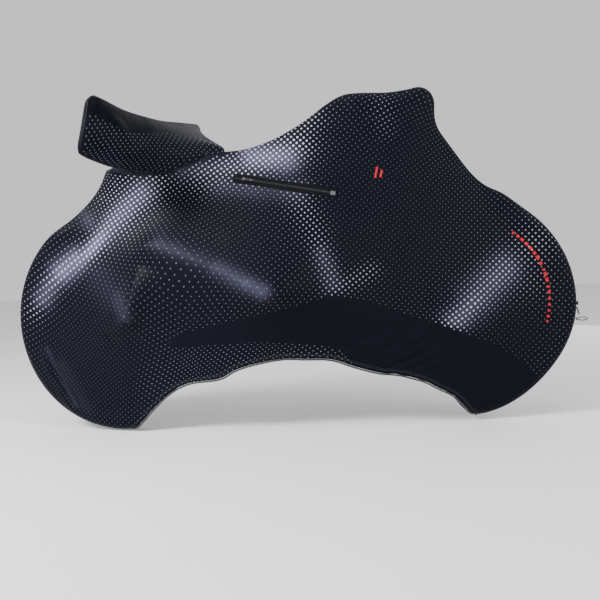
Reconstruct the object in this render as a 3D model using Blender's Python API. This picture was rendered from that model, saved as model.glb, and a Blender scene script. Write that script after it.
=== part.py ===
# Fitted stretch cover for a bicycle: two side panels and a two-piece hood for the bar, sewn
# edge to edge, hollow, open underneath. Metres. +X runs to the rear wheel, +Y to the far
# side, +Z up.
import math

import bmesh
import bpy
import numpy as np
from mathutils.bvhtree import BVHTree

# ---- driving dimensions ---------------------------------------------------------------

# shapes are laid out from the wheels' contact line, then moved so that the origin lies
# on the saddle, under the cover's top
ORIGIN = (0.300, 0.0, 1.015)

CLOTH = 0.002              # thickness of each panel
GAP = 0.0003               # between pieces that touch

TYRE_HALF = 0.024
FRONT_HUB = (-0.552, 0.0, 0.346)
REAR_HUB = (0.521, 0.0, 0.356)
FRONT_RADIUS = 0.347
REAR_RADIUS = 0.347
REAR_FLAT = 0.013          # how far the rear arc is cut short, low down behind
STEER = math.radians(15.5)  # the front wheel and the bar are turned by this much

# angles above the hubs' level, where the seam leaves the wheels and where the mouth starts
FRONT_LEAVES = math.radians(50.0)
REAR_LEAVES = math.radians(56.0)
FRONT_MOUTH = math.radians(-95.5)
REAR_MOUTH = math.radians(-85.0)

# the front seam above the wheel, with the half width of what carries it
NECK_LINE = (
    # x, y, z, half_width
    (-0.740, 0.050, 0.628, 0.024),
    (-0.700, 0.046, 0.653, 0.024),
    (-0.657, 0.042, 0.688, 0.022),
    (-0.632, 0.040, 0.715, 0.018),
    (-0.613, 0.037, 0.741, 0.016),
    (-0.597, 0.033, 0.769, 0.015),
    (-0.583, 0.028, 0.804, 0.015),
)

# the collar, where the side panels end and the hood begins
COLLAR_LINE = (
    # x, near_half, far_half, z
    (-0.552, 0.026, 0.060, 0.799),
    (-0.493, 0.052, 0.078, 0.787),
    (-0.429, 0.064, 0.080, 0.781),
    (-0.370, 0.062, 0.072, 0.784),
    (-0.309, 0.048, 0.054, 0.806),
    (-0.266, 0.032, 0.036, 0.828),
    (-0.225, 0.016, 0.017, 0.843),
)

# the top seam from the collar's back to the rear wheel
TOP_LINE = (
    # x, z, half_width
    (-0.185, 0.849, 0.016),
    (-0.142, 0.854, 0.016),
    (-0.067, 0.877, 0.016),
    (0.009, 0.915, 0.016),
    (0.059, 0.948, 0.016),
    (0.110, 0.985, 0.017),
    (0.161, 1.012, 0.019),    # saddle nose
    (0.215, 1.018, 0.022),
    (0.300, 1.017, 0.026),
    (0.359, 1.024, 0.026),
    (0.400, 1.031, 0.024),    # back of the saddle
    (0.431, 1.017, 0.020),
    (0.446, 0.985, 0.016),
    (0.444, 0.925, 0.014),
    (0.457, 0.895, 0.013),
    (0.502, 0.829, 0.012),
    (0.550, 0.761, 0.012),
    (0.574, 0.735, 0.013),
    (0.605, 0.714, 0.016),
    (0.650, 0.694, 0.020),
)

# the mouth's edge on both sides
MOUTH_LINE = (
    # x, near_half, far_half, z
    (-0.496, 0.034, 0.020, 0.012),
    (-0.455, 0.052, 0.016, 0.056),
    (-0.389, 0.074, 0.014, 0.117),
    (-0.324, 0.092, 0.026, 0.149),
    (-0.235, 0.112, 0.052, 0.162),
    (-0.186, 0.120, 0.070, 0.187),
    (-0.130, 0.124, 0.084, 0.204),
    (-0.047, 0.122, 0.100, 0.217),
    (0.021, 0.116, 0.108, 0.214),
    (0.098, 0.108, 0.112, 0.209),
    (0.169, 0.098, 0.110, 0.184),
    (0.240, 0.090, 0.102, 0.163),
    (0.298, 0.082, 0.092, 0.155),
    (0.377, 0.070, 0.076, 0.131),
    (0.423, 0.060, 0.064, 0.106),
    (0.464, 0.050, 0.052, 0.085),
    (0.494, 0.042, 0.042, 0.058),
    (0.520, 0.034, 0.034, 0.028),
)

# the hood's ridge, by the way along the bar
BAR_MIDDLE = (-0.425, 0.0)
RIDGE_LINE = (
    # along, forward, height
    (-0.366, 0.018, 0.948),
    (-0.352, 0.010, 0.962),
    (-0.320, 0.006, 0.962),
    (-0.200, 0.002, 0.950),
    (-0.050, 0.000, 0.953),
    (0.060, 0.000, 0.960),
    (0.200, 0.000, 0.977),
    (0.320, 0.000, 0.991),
    (0.350, 0.000, 0.993),
    (0.366, 0.002, 0.981),
)
# each ear's edge, from the collar out along its foot and up its end
NEAR_EAR = (
    # along, forward, height
    (-0.150, 0.050, 0.790),
    (-0.260, 0.060, 0.799),
    (-0.345, 0.052, 0.806),
    (-0.367, 0.046, 0.818),
    (-0.370, 0.030, 0.880),
)
FAR_EAR = (
    # along, forward, height
    (0.160, 0.040, 0.798),
    (0.260, 0.044, 0.816),
    (0.345, 0.034, 0.834),
    (0.367, 0.030, 0.846),
    (0.370, 0.016, 0.910),
)
EAR_HALF = 0.017            # half width of what fills the ears' edges
# what holds the far ear's back face out, from its end down to the top tube
FAR_BARS = (
    # along, height, reach, end_along, end_height, end_reach, radius
    (0.335, 0.972, 0.014, 0.230, 0.918, 0.084, 0.020),
    (0.230, 0.918, 0.084, 0.150, 0.884, 0.144, 0.020),
    (0.150, 0.884, 0.144, 0.085, 0.860, 0.202, 0.018),
)

# what stands out sideways under the side panels, each a bar from one point to another
SIDE_BARS = (
    # side, x, z, reach, end_x, end_z, end_reach, radius
    (-1.0, -0.518, 0.352, 0.092, -0.512, 0.352, 0.092, 0.014),   # front axle
    (-1.0, -0.512, 0.356, 0.090, -0.480, 0.455, 0.066, 0.010),   # fork leg
    (-1.0, -0.440, 0.560, 0.092, -0.130, 0.438, 0.194, 0.016),   # cloth's long ridge
    (-1.0, -0.130, 0.434, 0.198, -0.066, 0.408, 0.206, 0.022),   # near pedal
    (-1.0, 0.515, 0.356, 0.070, 0.527, 0.356, 0.070, 0.020),     # rear axle
    (1.0, -0.518, 0.352, 0.086, -0.512, 0.352, 0.086, 0.014),
    (1.0, 0.165, 0.292, 0.196, 0.245, 0.286, 0.190, 0.022),      # far pedal
    (1.0, 0.515, 0.356, 0.082, 0.527, 0.356, 0.082, 0.022),
)

SADDLE_EDGE = (
    # x, half, z, radius
    (0.190, 0.012, 0.997, 0.016),
    (0.285, 0.024, 0.995, 0.018),
    (0.355, 0.050, 0.997, 0.018),
    (0.408, 0.060, 1.003, 0.018),
    (0.425, 0.048, 0.999, 0.016),
)

# broad folds drawn out of the side panels, each along a line seen from the side
FOLDS = (
    # side, x, z, middle_x, middle_z, end_x, end_z, width, height
    (-1.0, -0.545, 0.540, -0.548, 0.440, -0.566, 0.340, 0.036, 0.0080),   # over the axle lever
    (-1.0, -0.470, 0.740, -0.560, 0.650, -0.660, 0.560, 0.048, 0.0080),   # neck to front wheel
    (-1.0, 0.500, 0.300, 0.610, 0.400, 0.690, 0.500, 0.048, 0.0060),      # over the stays
    (-1.0, 0.060, 0.665, 0.075, 0.600, 0.125, 0.490, 0.034, 0.0045),      # under the zip
    (-1.0, 0.215, 0.196, 0.330, 0.240, 0.450, 0.320, 0.030, 0.0040),      # behind the pedals
    (1.0, -0.540, 0.430, -0.556, 0.352, -0.600, 0.330, 0.032, 0.0055),
    (1.0, 0.200, 0.300, 0.060, 0.420, -0.120, 0.520, 0.042, 0.0060),
    (1.0, -0.470, 0.740, -0.560, 0.650, -0.660, 0.560, 0.048, 0.0070),
    (1.0, 0.500, 0.300, 0.610, 0.400, 0.690, 0.500, 0.048, 0.0060),
)
FOLD_HOLD = 2               # steps beside a seam over which folds die out

COLLAR_STEPS = 18           # of each side's collar; the ears' feet meet it half way
TOP_STEPS = 29              # from the collar's back to the rear wheel
PANEL_ROWS = 29             # rows of points
HOOD_ROWS = 14
FOOT_BLEND = 4              # steps over which the ears' edges turn from the collar
EDGE_STEPS = (0.35, 0.6, 0.85)   # the grids' first steps from a seam, against the others
PANEL_PULL = 4.0            # over 2, longer threads pull harder, so tents stay straight
HOOD_PULL = 2.6
PANEL_RUNS = 900
HOOD_RUNS = 300

BINDING_RADIUS = 0.0028     # the elastic sewn round the mouth
BINDING_SIDES = 6

# the zip on the near side, by where it lies seen from the side
ZIP_FROM = (-0.179, 0.761)
ZIP_TO = (0.132, 0.702)
ZIP_STEPS = 34
# what is stacked on it: across and along are measured from the zip's middle line and start
ZIP_PARTS = (
    # name, start, end, half_width, bottom, top, colour, roughness, metallic
    ("zip_tape", 0.000, 0.316, 0.0140, 0.0004, 0.0014, (0.010, 0.010, 0.014), 0.80, 0.0),
    ("zip_coil", 0.004, 0.296, 0.0027, 0.0017, 0.0034, (0.015, 0.015, 0.018), 0.45, 0.0),
    ("zip_slider", 0.026, 0.038, 0.0048, 0.0037, 0.0066, (0.10, 0.10, 0.11), 0.35, 0.9),
    ("zip_puller", 0.0386, 0.062, 0.0034, 0.0037, 0.0053, (0.10, 0.10, 0.11), 0.35, 0.9),
    ("zip_end_tab", 0.2965, 0.3120, 0.0060, 0.0017, 0.0029, (0.30, 0.30, 0.33), 0.60, 0.0),
)

# the small slider at the rear wheel, by angle below the hub, and the loop under it
TAIL_SLIDER_AT = math.radians(-1.5)
TAIL_TAB_AT = math.radians(-5.4)
TAIL_LOOP_AT = math.radians(-9.6)
TAIL_SLIDER = (0.0048, 0.0100, 0.0140)   # out, across and up
TAIL_TAB = (0.0016, 0.0070, 0.0240)
TAIL_TAB_LEAN = math.radians(20.0)
TAIL_LOOP = (0.036, 0.0055, 0.0011)      # reach, half height and the cord's radius

FORWARD = np.array((-math.cos(STEER), math.sin(STEER), 0.0))
BAR_WAY = np.array((math.sin(STEER), math.cos(STEER), 0.0))
UP = np.array((0.0, 0.0, 1.0))


# ---- curves ---------------------------------------------------------------------------

def unit(vectors):
    return vectors / np.maximum(np.linalg.norm(vectors, axis=-1, keepdims=True), 1e-12)


def smooth_line(rows, count_per_span=12):
    """Points of a Catmull-Rom curve through rows, whatever their number of columns."""
    rows = np.asarray(rows, float)
    ends = np.vstack([2 * rows[0] - rows[1], rows, 2 * rows[-1] - rows[-2]])
    t = np.linspace(0.0, 1.0, count_per_span, endpoint=False)[:, None]
    spans = []
    for a, b, c, d in zip(ends, ends[1:], ends[2:], ends[3:]):
        spans.append(0.5 * (2 * b + (c - a) * t + (2 * a - 5 * b + 4 * c - d) * t ** 2
                            + (3 * b - a - 3 * c + d) * t ** 3))
    return np.vstack(spans + [rows[-1:]])


def line_length(line):
    return np.linalg.norm(np.diff(line[:, :3], axis=0), axis=1).sum()


def spaced(line, shares):
    """The line's rows at the given shares of its length."""
    steps = np.linalg.norm(np.diff(line[:, :3], axis=0), axis=1)
    length = np.concatenate([[0.0], np.cumsum(steps)])
    wanted = np.asarray(shares) * length[-1]
    return np.stack([np.interp(wanted, length, line[:, k]) for k in range(line.shape[1])], 1)


def grid_steps(count, seam_first, seam_last):
    """Sizes of the steps between count lines of a grid, finer beside a seam."""
    steps = np.ones(count - 1)
    for place, size in enumerate(EDGE_STEPS):
        if seam_first:
            steps[place] = size
        if seam_last:
            steps[-1 - place] = size
    return steps * (count - 1) / steps.sum()


def shares_of(steps):
    return np.concatenate([[0.0], np.cumsum(steps)]) / np.sum(steps)


def ahead(line):
    return unit(np.gradient(line[:, :3], axis=0))


def inward_of(line, across):
    """Unit vectors square to the line and to across, one for each of its points."""
    return unit(np.cross(ahead(line), across))


def wheel_arc(hub, radius, forward, start, end, count):
    """Arc of a wheel's tread: x, y, z and the tyre's half width."""
    angle = np.linspace(start, end, count)[:, None]
    ring = np.asarray(hub) + radius * (np.cos(angle) * forward + np.sin(angle) * UP)
    return np.hstack([ring, np.full((count, 1), TYRE_HALF)])


def front_seam():
    """From the mouth round the front wheel and up to the collar."""
    arc = wheel_arc(FRONT_HUB, FRONT_RADIUS, FORWARD, FRONT_MOUTH, FRONT_LEAVES, 60)
    return np.vstack([arc[:-6], smooth_line(np.vstack([arc[-6::2], NECK_LINE]))])


def rear_seam():
    """From the mouth round the rear wheel to where the seam leaves it."""
    back = np.array((1.0, 0.0, 0.0))
    arc = wheel_arc(REAR_HUB, REAR_RADIUS, back, REAR_MOUTH, REAR_LEAVES, 60)
    angle = np.linspace(REAR_MOUTH, REAR_LEAVES, 60)
    short = REAR_FLAT * np.sin(2 * np.minimum(angle, 0.0)) ** 2
    arc[:, :3] -= short[:, None] * unit(arc[:, :3] - np.asarray(REAR_HUB))
    return arc


def top_seam():
    """From the collar's back over the saddle to the rear wheel."""
    rows = [(x, 0.0, z, half) for x, z, half in TOP_LINE]
    return smooth_line(np.vstack([rows, rear_seam()[-1:]]))


def collar(side):
    """From the front seam's end along one side to the top seam's start."""
    half = 1 if side < 0 else 2
    rows = [(row[0], side * row[half], row[3]) for row in COLLAR_LINE]
    return smooth_line(np.vstack([front_seam()[-1:, :3], rows, top_seam()[:1, :3]]))


def mouth(side):
    """The mouth's edge on one side, from the front wheel's foot to the rear wheel's."""
    half = 1 if side < 0 else 2
    rows = [(row[0], side * row[half], row[3]) for row in MOUTH_LINE]
    return smooth_line(np.vstack([front_seam()[:1, :3], rows, rear_seam()[:1, :3]]))


def bar_points(rows):
    """Points given by their way along the bar, forward of it and their height."""
    rows = np.asarray(rows, float)
    base = np.array((*BAR_MIDDLE, 0.0))
    return (base + rows[:, :1] * BAR_WAY + rows[:, 1:2] * FORWARD + rows[:, 2:3] * UP)


# ---- the skin -------------------------------------------------------------------------

def start_patch(edges, wide, tall):
    """A surface between four edges, as a grid with [column, row] at the given steps."""
    left, top, right, bottom = edges
    u = shares_of(wide)[:, None, None]
    v = shares_of(tall)[None, :, None]
    sides = (1 - u) * left[None] + u * right[None]
    ends = (1 - v) * bottom[:, None] + v * top[:, None]
    corners = ((1 - u) * (1 - v) * bottom[0] + u * (1 - v) * bottom[-1]
               + (1 - u) * v * top[0] + u * v * top[-1])
    return sides + ends - corners


def lift_over_bars(grid, bars, base, along, up, out):
    """Moves the grid's points out to the bars that stand under the cloth."""
    away = grid - base
    flat = np.stack([away @ along, away @ up], axis=-1)
    height = away @ out
    for bar in bars:
        start, end = np.array((bar[0], bar[1])), np.array((bar[3], bar[4]))
        run = end - start
        t = np.clip(((flat - start) @ run) / (run @ run), 0, 1)
        off = np.linalg.norm(flat - (start + t[..., None] * run), axis=-1)
        reach = bar[2] + (bar[5] - bar[2]) * t - 0.5 * bar[6] * np.minimum(off / bar[6], 1) ** 2
        short = np.where(off < bar[6], np.maximum(reach - height, 0), 0)
        grid = grid + short[..., None] * out
        height = height + short
    return grid


def fill_ears(grid, face):
    """Moves the grid's points out of what fills the ears, a slab with round edges."""
    away = grid - np.array((*BAR_MIDDLE, 0.0))
    along, forward, height = away @ BAR_WAY, away @ FORWARD, grid[..., 2]
    ridge = np.asarray(RIDGE_LINE)
    feet = np.vstack([np.asarray(NEAR_EAR)[3::-1], np.asarray(FAR_EAR)[:4]])
    top = np.interp(along, ridge[:, 0], ridge[:, 2])
    top_way = np.interp(along, ridge[:, 0], ridge[:, 1])
    foot = np.interp(along, feet[:, 0], feet[:, 2])
    foot_way = np.interp(along, feet[:, 0], feet[:, 1])
    share = np.clip((height - foot) / (top - foot), 0, 1)
    middle = foot_way + share * (top_way - foot_way)
    round_up = np.sqrt(np.clip(1 - (2 * share - 1) ** 4, 0, 1))
    to_end = np.clip((0.370 - np.abs(along)) / 0.03, 0, 1)
    inner = np.clip((np.abs(along) - 0.10) / 0.06, 0, 1)
    half = EAR_HALF * round_up * np.sqrt(to_end) * inner
    short = np.maximum(half - face * (forward - middle), 0) * (inner > 0)
    return grid + (face * short)[..., None] * FORWARD


def push_from_rods(grid, rods, outward):
    """Moves the grid's points out of round rods, each a line of x, y, z, radius."""
    flat = grid.reshape(-1, 3)
    for rod in rods:
        start, run = rod[:-1], np.diff(rod, axis=0)
        length = np.sum(run[:, :3] ** 2, axis=1)
        for begin in range(0, len(flat), 3000):
            part = flat[begin:begin + 3000]
            from_start = part[:, None] - start[None, :, :3]
            t = np.clip(np.sum(from_start * run[None, :, :3], axis=2) / length, 0, 1)
            away = from_start - t[..., None] * run[None, :, :3]
            radius = start[None, :, 3] + t * run[None, :, 3]
            depth = np.linalg.norm(away, axis=2) - radius
            near = np.argmin(depth, axis=1)
            pick = np.arange(len(part))
            way, radius = unit(away[pick, near]), radius[pick, near]
            centre = part - away[pick, near]
            facing = way @ outward
            way = unit(way + np.where(facing < 0.05, 0.3, 0.0)[:, None] * outward)
            short = depth[pick, near] < 0
            part[short] = (centre + way * radius[:, None])[short]
    return flat.reshape(grid.shape)


def cell_pull(grid, wide, tall, power):
    """How hard each cell of the grid pulls: more where the cloth is stretched."""
    across = np.sum((np.diff(grid, axis=0) / wide[:, None, None]) ** 2, axis=2)
    up = np.sum((np.diff(grid, axis=1) / tall[None, :, None]) ** 2, axis=2)
    stretch = 0.5 * (across[:, :-1] + across[:, 1:] + up[:-1] + up[1:])
    return (stretch + 1e-6) ** (power / 2 - 1)


def relax(grid, wide, tall, steps, power, rods, outward, lift):
    """Draws the grid tight between its edges, over the rods and what lift stands on."""
    held = grid.copy()
    damping = 0.9 if power < 3 else 1.3 / (power - 1)
    for step in range(steps):
        pull = np.pad(cell_pull(grid, wide, tall, power), 1)
        across = pull[1:-1] * np.pad(tall, 1)[None] / wide[:, None]
        up = pull[:, 1:-1] * np.pad(wide, 1)[:, None] / tall[None]
        across = (0.5 * (across[:, :-1] + across[:, 1:]))[..., None]
        up = (0.5 * (up[:-1] + up[1:]))[..., None]
        total = (across[:-1, 1:-1] * grid[:-2, 1:-1] + across[1:, 1:-1] * grid[2:, 1:-1]
                 + up[1:-1, :-1] * grid[1:-1, :-2] + up[1:-1, 1:] * grid[1:-1, 2:])
        weight = across[:-1, 1:-1] + across[1:, 1:-1] + up[1:-1, :-1] + up[1:-1, 1:]
        grid[1:-1, 1:-1] += damping * (total / weight - grid[1:-1, 1:-1])
        grid = lift(grid)
        if step % 8 == 0 or step > steps - 6:
            grid = push_from_rods(grid, rods, outward)
        for edge in ((0, slice(None)), (-1, slice(None)), (slice(None), 0), (slice(None), -1)):
            grid[edge] = held[edge]
    return grid


def rod_under(line, inward):
    """A rod that carries a seam from inside, of the half width in the line's last column."""
    return np.hstack([line[:, :3] + inward * line[:, 3:4], line[:, 3:4]])


def seam_across(line):
    """Unit vectors across the front, top or rear seam, level, towards the near side."""
    turned = np.clip((-0.40 - line[:, 0]) / 0.15, 0, 1)[:, None]
    return unit(-(turned * BAR_WAY + (1 - turned) * np.array((0.0, 1.0, 0.0))))


def panel_steps(side):
    """Step sizes of a side panel's grid, by the lengths of collar and top seam."""
    rim, top = line_length(collar(side)), line_length(top_seam())
    steps = grid_steps(COLLAR_STEPS + TOP_STEPS + 1, True, True)
    steps[:COLLAR_STEPS] *= rim / steps[:COLLAR_STEPS].sum()
    steps[COLLAR_STEPS:] *= top / steps[COLLAR_STEPS:].sum()
    return steps / steps.mean(), grid_steps(PANEL_ROWS, False, True)


def collar_points(side):
    """The collar's points that panel and hood share, the way in and the way down there."""
    wide = panel_steps(side)[0]
    rim = spaced(collar(side), shares_of(wide[:COLLAR_STEPS]))
    front, top = front_seam(), top_seam()
    first = inward_of(front, seam_across(front))[-1]
    last = inward_of(top, seam_across(top))[0]
    t = np.linspace(0.0, 1.0, len(rim))[:, None]
    middle = np.array((0.0, -side, 0.0))
    inward = unit(first * (1 - t) ** 3 + middle * 4 * t * (1 - t) + last * t ** 3)
    return rim, inward, side * unit(np.cross(ahead(rim), inward))


def side_edges(side, wide, tall):
    """Left, top, right and bottom edges of a side panel, and their inward vectors."""
    left, right = spaced(front_seam(), shares_of(tall)), spaced(rear_seam(), shares_of(tall))
    rim, rim_in, below = collar_points(side)
    top = spaced(top_seam(), shares_of(wide[COLLAR_STEPS:]))
    outward = np.array((0.0, side, 0.0))
    left_edge = left[:, :3] - side * GAP / 2 * seam_across(left)
    right_edge = right[:, :3] + GAP / 2 * outward
    top_edge = top[:, :3] + GAP / 2 * outward
    rim_edge = rim + GAP / 2 * below
    left_edge[-1] += GAP / 2 * below[0]
    top_edge[0] += GAP / 2 * below[-1]
    upper = np.vstack([left_edge[-1:], rim_edge[1:-1], top_edge])
    upper_in = np.vstack([rim_in, inward_of(top, seam_across(top))[1:]])
    bottom = spaced(mouth(side), shares_of(wide))
    bottom[0], bottom[-1] = left_edge[0], right_edge[0]
    left_in = inward_of(left, seam_across(left))
    right_in = -inward_of(right, seam_across(right))
    return (left_edge, upper, right_edge, bottom), (left_in, upper_in, right_in)


def side_skin(side, steps):
    """The outer face of one side panel as a grid of points, and its edges' ways in."""
    wide, tall = panel_steps(side)
    edges, ways_in = side_edges(side, wide, tall)
    grid = start_patch(edges, wide, tall)
    rods = [rod_under(line[::2], inward_of(line, seam_across(line))[::2] * turn)
            for line, turn in ((front_seam(), 1), (rear_seam(), -1), (top_seam(), 1))]
    rods.append(smooth_line([(x, side * half, z, r) for x, half, z, r in SADDLE_EDGE], 6))
    out = np.array((0.0, side, 0.0))
    bars = [row[1:] for row in SIDE_BARS if row[0] == side]

    def lift(points):
        return lift_over_bars(points, bars, np.zeros(3), np.array((1.0, 0.0, 0.0)), UP, out)

    grid = relax(grid, wide, tall, steps, PANEL_PULL, rods, out, lift)
    return add_folds(grid, side), ways_in


def add_folds(grid, side):
    """Draws the broad folds out of a side panel, fading to nothing at both ends."""
    place = grid[..., ::2]
    total = np.zeros(grid.shape[:2])
    for row in FOLDS:
        if row[0] != side:
            continue
        line = smooth_line(np.reshape(row[1:7], (3, 2)))
        width, height = row[7:]
        off = np.linalg.norm(place[:, :, None] - line, axis=-1)
        share = np.argmin(off, axis=-1) / (len(line) - 1)
        fade = np.clip(4 * np.minimum(share, 1 - share), 0, 1)
        total += height * fade * np.exp(-(off.min(axis=-1) / width) ** 2)
    columns, rows = total.shape
    hold = np.clip(np.minimum(np.arange(columns), np.arange(columns)[::-1]) / FOLD_HOLD, 0, 1)
    total *= hold[:, None] * np.clip(np.arange(rows)[::-1] / FOLD_HOLD, 0, 1)
    total[:, 0] = 0.0
    return grid + total[..., None] * np.array((0.0, side, 0.0))


def hood_outline():
    """The seam of the hood's two pieces: near ear, ridge and far ear, from the collar."""
    feet = [collar_points(side)[0][COLLAR_STEPS // 2][None] for side in (-1.0, 1.0)]
    near = smooth_line(np.vstack([feet[0], bar_points(NEAR_EAR), bar_points(RIDGE_LINE[:1])]))
    far = smooth_line(np.vstack([feet[1], bar_points(FAR_EAR), bar_points(RIDGE_LINE[-1:])]))
    return near, smooth_line(bar_points(RIDGE_LINE)), far


def halved(line):
    """The line's points with one more in the middle of each step."""
    both = np.empty((2 * len(line) - 1, line.shape[1]))
    both[::2] = line
    both[1::2] = 0.5 * (line[:-1] + line[1:])
    return both


def hood_rim(face):
    """The hood's lower edge from the near ear's foot to the far one's, and the ways in."""
    half = COLLAR_STEPS // 2
    part = slice(half, None, -1) if face > 0 else slice(half, None)
    lines, ways = [], []
    for side in (-1.0, 1.0):
        rim, inward, below = collar_points(side)
        lines.append(halved((rim - GAP / 2 * below)[part]))
        ways.append(unit(halved(inward[part])))
    middle = 0.5 * (lines[0][-1] + lines[1][-1])
    line = np.vstack([lines[0][:-1], middle, lines[1][-2::-1]])
    from_foot = np.minimum(np.arange(len(line)), np.arange(len(line))[::-1])
    rise = np.clip(1 - from_foot / FOOT_BLEND, 0, 1)[:, None]
    return line, unit(np.vstack([ways[0], ways[1][-2::-1]]) + rise * UP)


def hood_skin(face, steps):
    """The front (face 1) or back (face -1) of the hood, and its edges' ways in."""
    wide = grid_steps(2 * COLLAR_STEPS + 1, True, True)
    tall = grid_steps(HOOD_ROWS, False, True)
    near, ridge, far = [spaced(line, shares_of(steps_there)) for line, steps_there
                        in zip(hood_outline(), (tall, wide, tall))]
    rim, rim_in = hood_rim(face)
    near_in = unit(np.cross(FORWARD, ahead(near)))
    far_in = unit(np.cross(ahead(far), FORWARD))
    ridge_in = unit(np.cross(FORWARD, ahead(ridge)))
    offset = face * GAP / 2 * FORWARD
    edges = [near + offset, ridge + offset, far + offset, rim]
    rim[0] += offset
    rim[-1] += offset
    edges[0][0], edges[2][0] = rim[0], rim[-1]
    for way, foot in ((near_in, rim_in[0]), (far_in, rim_in[-1])):
        blend = np.linspace(1.0, 0.0, FOOT_BLEND, endpoint=False)[:, None]
        way[:FOOT_BLEND] = unit(blend * foot + (1 - blend) * way[:FOOT_BLEND])
    grid = start_patch(edges, wide, tall)
    rods = [rod_under(np.insert(ridge, 3, EAR_HALF, axis=1), ridge_in)]
    for line, ways in ((near, near_in), (far, far_in)):
        widths = EAR_HALF * np.clip(np.arange(len(line)) / FOOT_BLEND, 0.05, 1.0)
        rods.append(rod_under(np.column_stack([line, widths]), ways))
    base = np.array((*BAR_MIDDLE, 0.0))

    def lift(points):
        points = fill_ears(points, face)
        if face < 0:
            points = lift_over_bars(points, FAR_BARS, base, BAR_WAY, UP, -FORWARD)
        return points

    grid = relax(grid, wide, tall, steps, HOOD_PULL, rods, face * FORWARD, lift)
    return grid, (near_in, ridge_in, far_in, rim_in)


# ---- meshes ---------------------------------------------------------------------------

def inner_face(grid, out_sign, left, top, right, bottom=None):
    """The piece's inner face: the outer one moved in by the cloth's thickness."""
    move = -out_sign * unit(np.cross(np.gradient(grid, axis=0), np.gradient(grid, axis=1)))
    if bottom is not None:
        move[:, 0] = bottom
    move[0], move[-1] = left, right
    move[:, -1] = top
    return grid + CLOTH * move


def slab_mesh(outer, inner):
    """Vertices and faces of the solid between two grids of the same size."""
    columns, rows = outer.shape[:2]
    verts = np.vstack([outer.reshape(-1, 3), inner.reshape(-1, 3)])
    index = np.arange(columns * rows).reshape(columns, rows)
    back = columns * rows
    faces = []
    for i in range(columns - 1):
        for j in range(rows - 1):
            quad = (index[i, j], index[i + 1, j], index[i + 1, j + 1], index[i, j + 1])
            faces.append(quad)
            faces.append(tuple(back + k for k in reversed(quad)))
    rim = (list(index[:, 0]) + list(index[-1, 1:]) + list(index[-2::-1, -1])
           + list(index[0, -2:0:-1]))
    for a, b in zip(rim, rim[1:] + rim[:1]):
        low, high = min(a, b), max(a, b)    # split alike where two pieces meet
        faces += [(low, high, back + high), (low, back + high, back + low)]
    return verts, [tuple(int(k) for k in face) for face in faces]


def finish_piece(name, verts, faces, colour, roughness, metallic=0.0):
    """One closed body, faces outwards, moved to the part's own origin, with its material."""
    mesh = bpy.data.meshes.new(name)
    mesh.from_pydata([tuple(p) for p in np.asarray(verts) - np.asarray(ORIGIN)], [], faces)
    bm = bmesh.new()
    bm.from_mesh(mesh)
    bmesh.ops.triangulate(bm, faces=bm.faces)
    bmesh.ops.recalc_face_normals(bm, faces=bm.faces)
    bm.to_mesh(mesh)
    bm.free()
    mesh.shade_smooth()
    piece = bpy.data.objects.new(name, mesh)
    bpy.context.scene.collection.objects.link(piece)
    material = bpy.data.materials.new(name + "_material")
    material.use_nodes = True
    shader = material.node_tree.nodes["Principled BSDF"]
    shader.inputs["Base Color"].default_value = (*colour, 1.0)
    shader.inputs["Roughness"].default_value = roughness
    shader.inputs["Metallic"].default_value = metallic
    mesh.materials.append(material)
    return piece


def build_panel(name, side):
    outer, ways = side_skin(side, PANEL_RUNS)
    left, top, right = ways
    inner = inner_face(outer, -side, left, top, right)
    finish_piece(name, *slab_mesh(outer, inner), (0.018, 0.020, 0.034), 0.55)
    return outer, inner


def build_hood(name, face):
    outer, ways = hood_skin(face, HOOD_RUNS)
    near, ridge, far, rim = ways
    inner = inner_face(outer, -face, near, ridge, far, rim)
    finish_piece(name, *slab_mesh(outer, inner), (0.018, 0.020, 0.034), 0.55)


def tube_mesh(path, radius, sides, normal, closed):
    """Vertices and faces of a tube along path; normal is a way that is never along it."""
    count = len(path)
    if closed:
        way = unit(np.roll(path, -1, axis=0) - np.roll(path, 1, axis=0))
    else:
        way = ahead(path)
    side_way = unit(np.cross(way, normal))
    up_way = np.cross(side_way, way)
    angle = 2 * math.pi * (np.arange(sides) + 0.5) / sides
    ring = (np.cos(angle)[None, :, None] * side_way[:, None]
            + np.sin(angle)[None, :, None] * up_way[:, None])
    verts = (path[:, None] + radius * ring).reshape(-1, 3)
    faces = []
    for i in range(count if closed else count - 1):
        for k in range(sides):
            here, over = i * sides, ((i + 1) % count) * sides
            turn = (k + 1) % sides
            faces.append((here + k, here + turn, over + turn, over + k))
    if not closed:
        faces.append(tuple(range(sides)))
        faces.append(tuple(range((count - 1) * sides, count * sides)))
    return verts, faces


def build_binding(near, far):
    """The elastic: a tube that runs along both panels' lower edges, just below them."""
    path = []
    for outer, inner in (near, far):
        edge = 0.5 * (outer[:, 0] + inner[:, 0])
        down = edge - 0.5 * (outer[:, 1] + inner[:, 1])
        way = ahead(edge)
        down = unit(down - way * np.sum(down * way, axis=1)[:, None])
        path.append((edge + (BINDING_RADIUS + 2 * GAP) * down)[1:-1])
    front_end = front_seam()[0, :3] - unit(np.diff(front_seam()[:2, :3], axis=0)) * 0.004
    rear_end = rear_seam()[0, :3] - unit(np.diff(rear_seam()[:2, :3], axis=0)) * 0.004
    loop = np.vstack([front_end, path[0], rear_end, path[1][::-1]])
    normal = np.array((0.05, 0.0, 1.0))
    finish_piece("mouth_binding", *tube_mesh(loop, BINDING_RADIUS, BINDING_SIDES, normal, True),
                 (0.02, 0.02, 0.026), 0.7)


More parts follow.
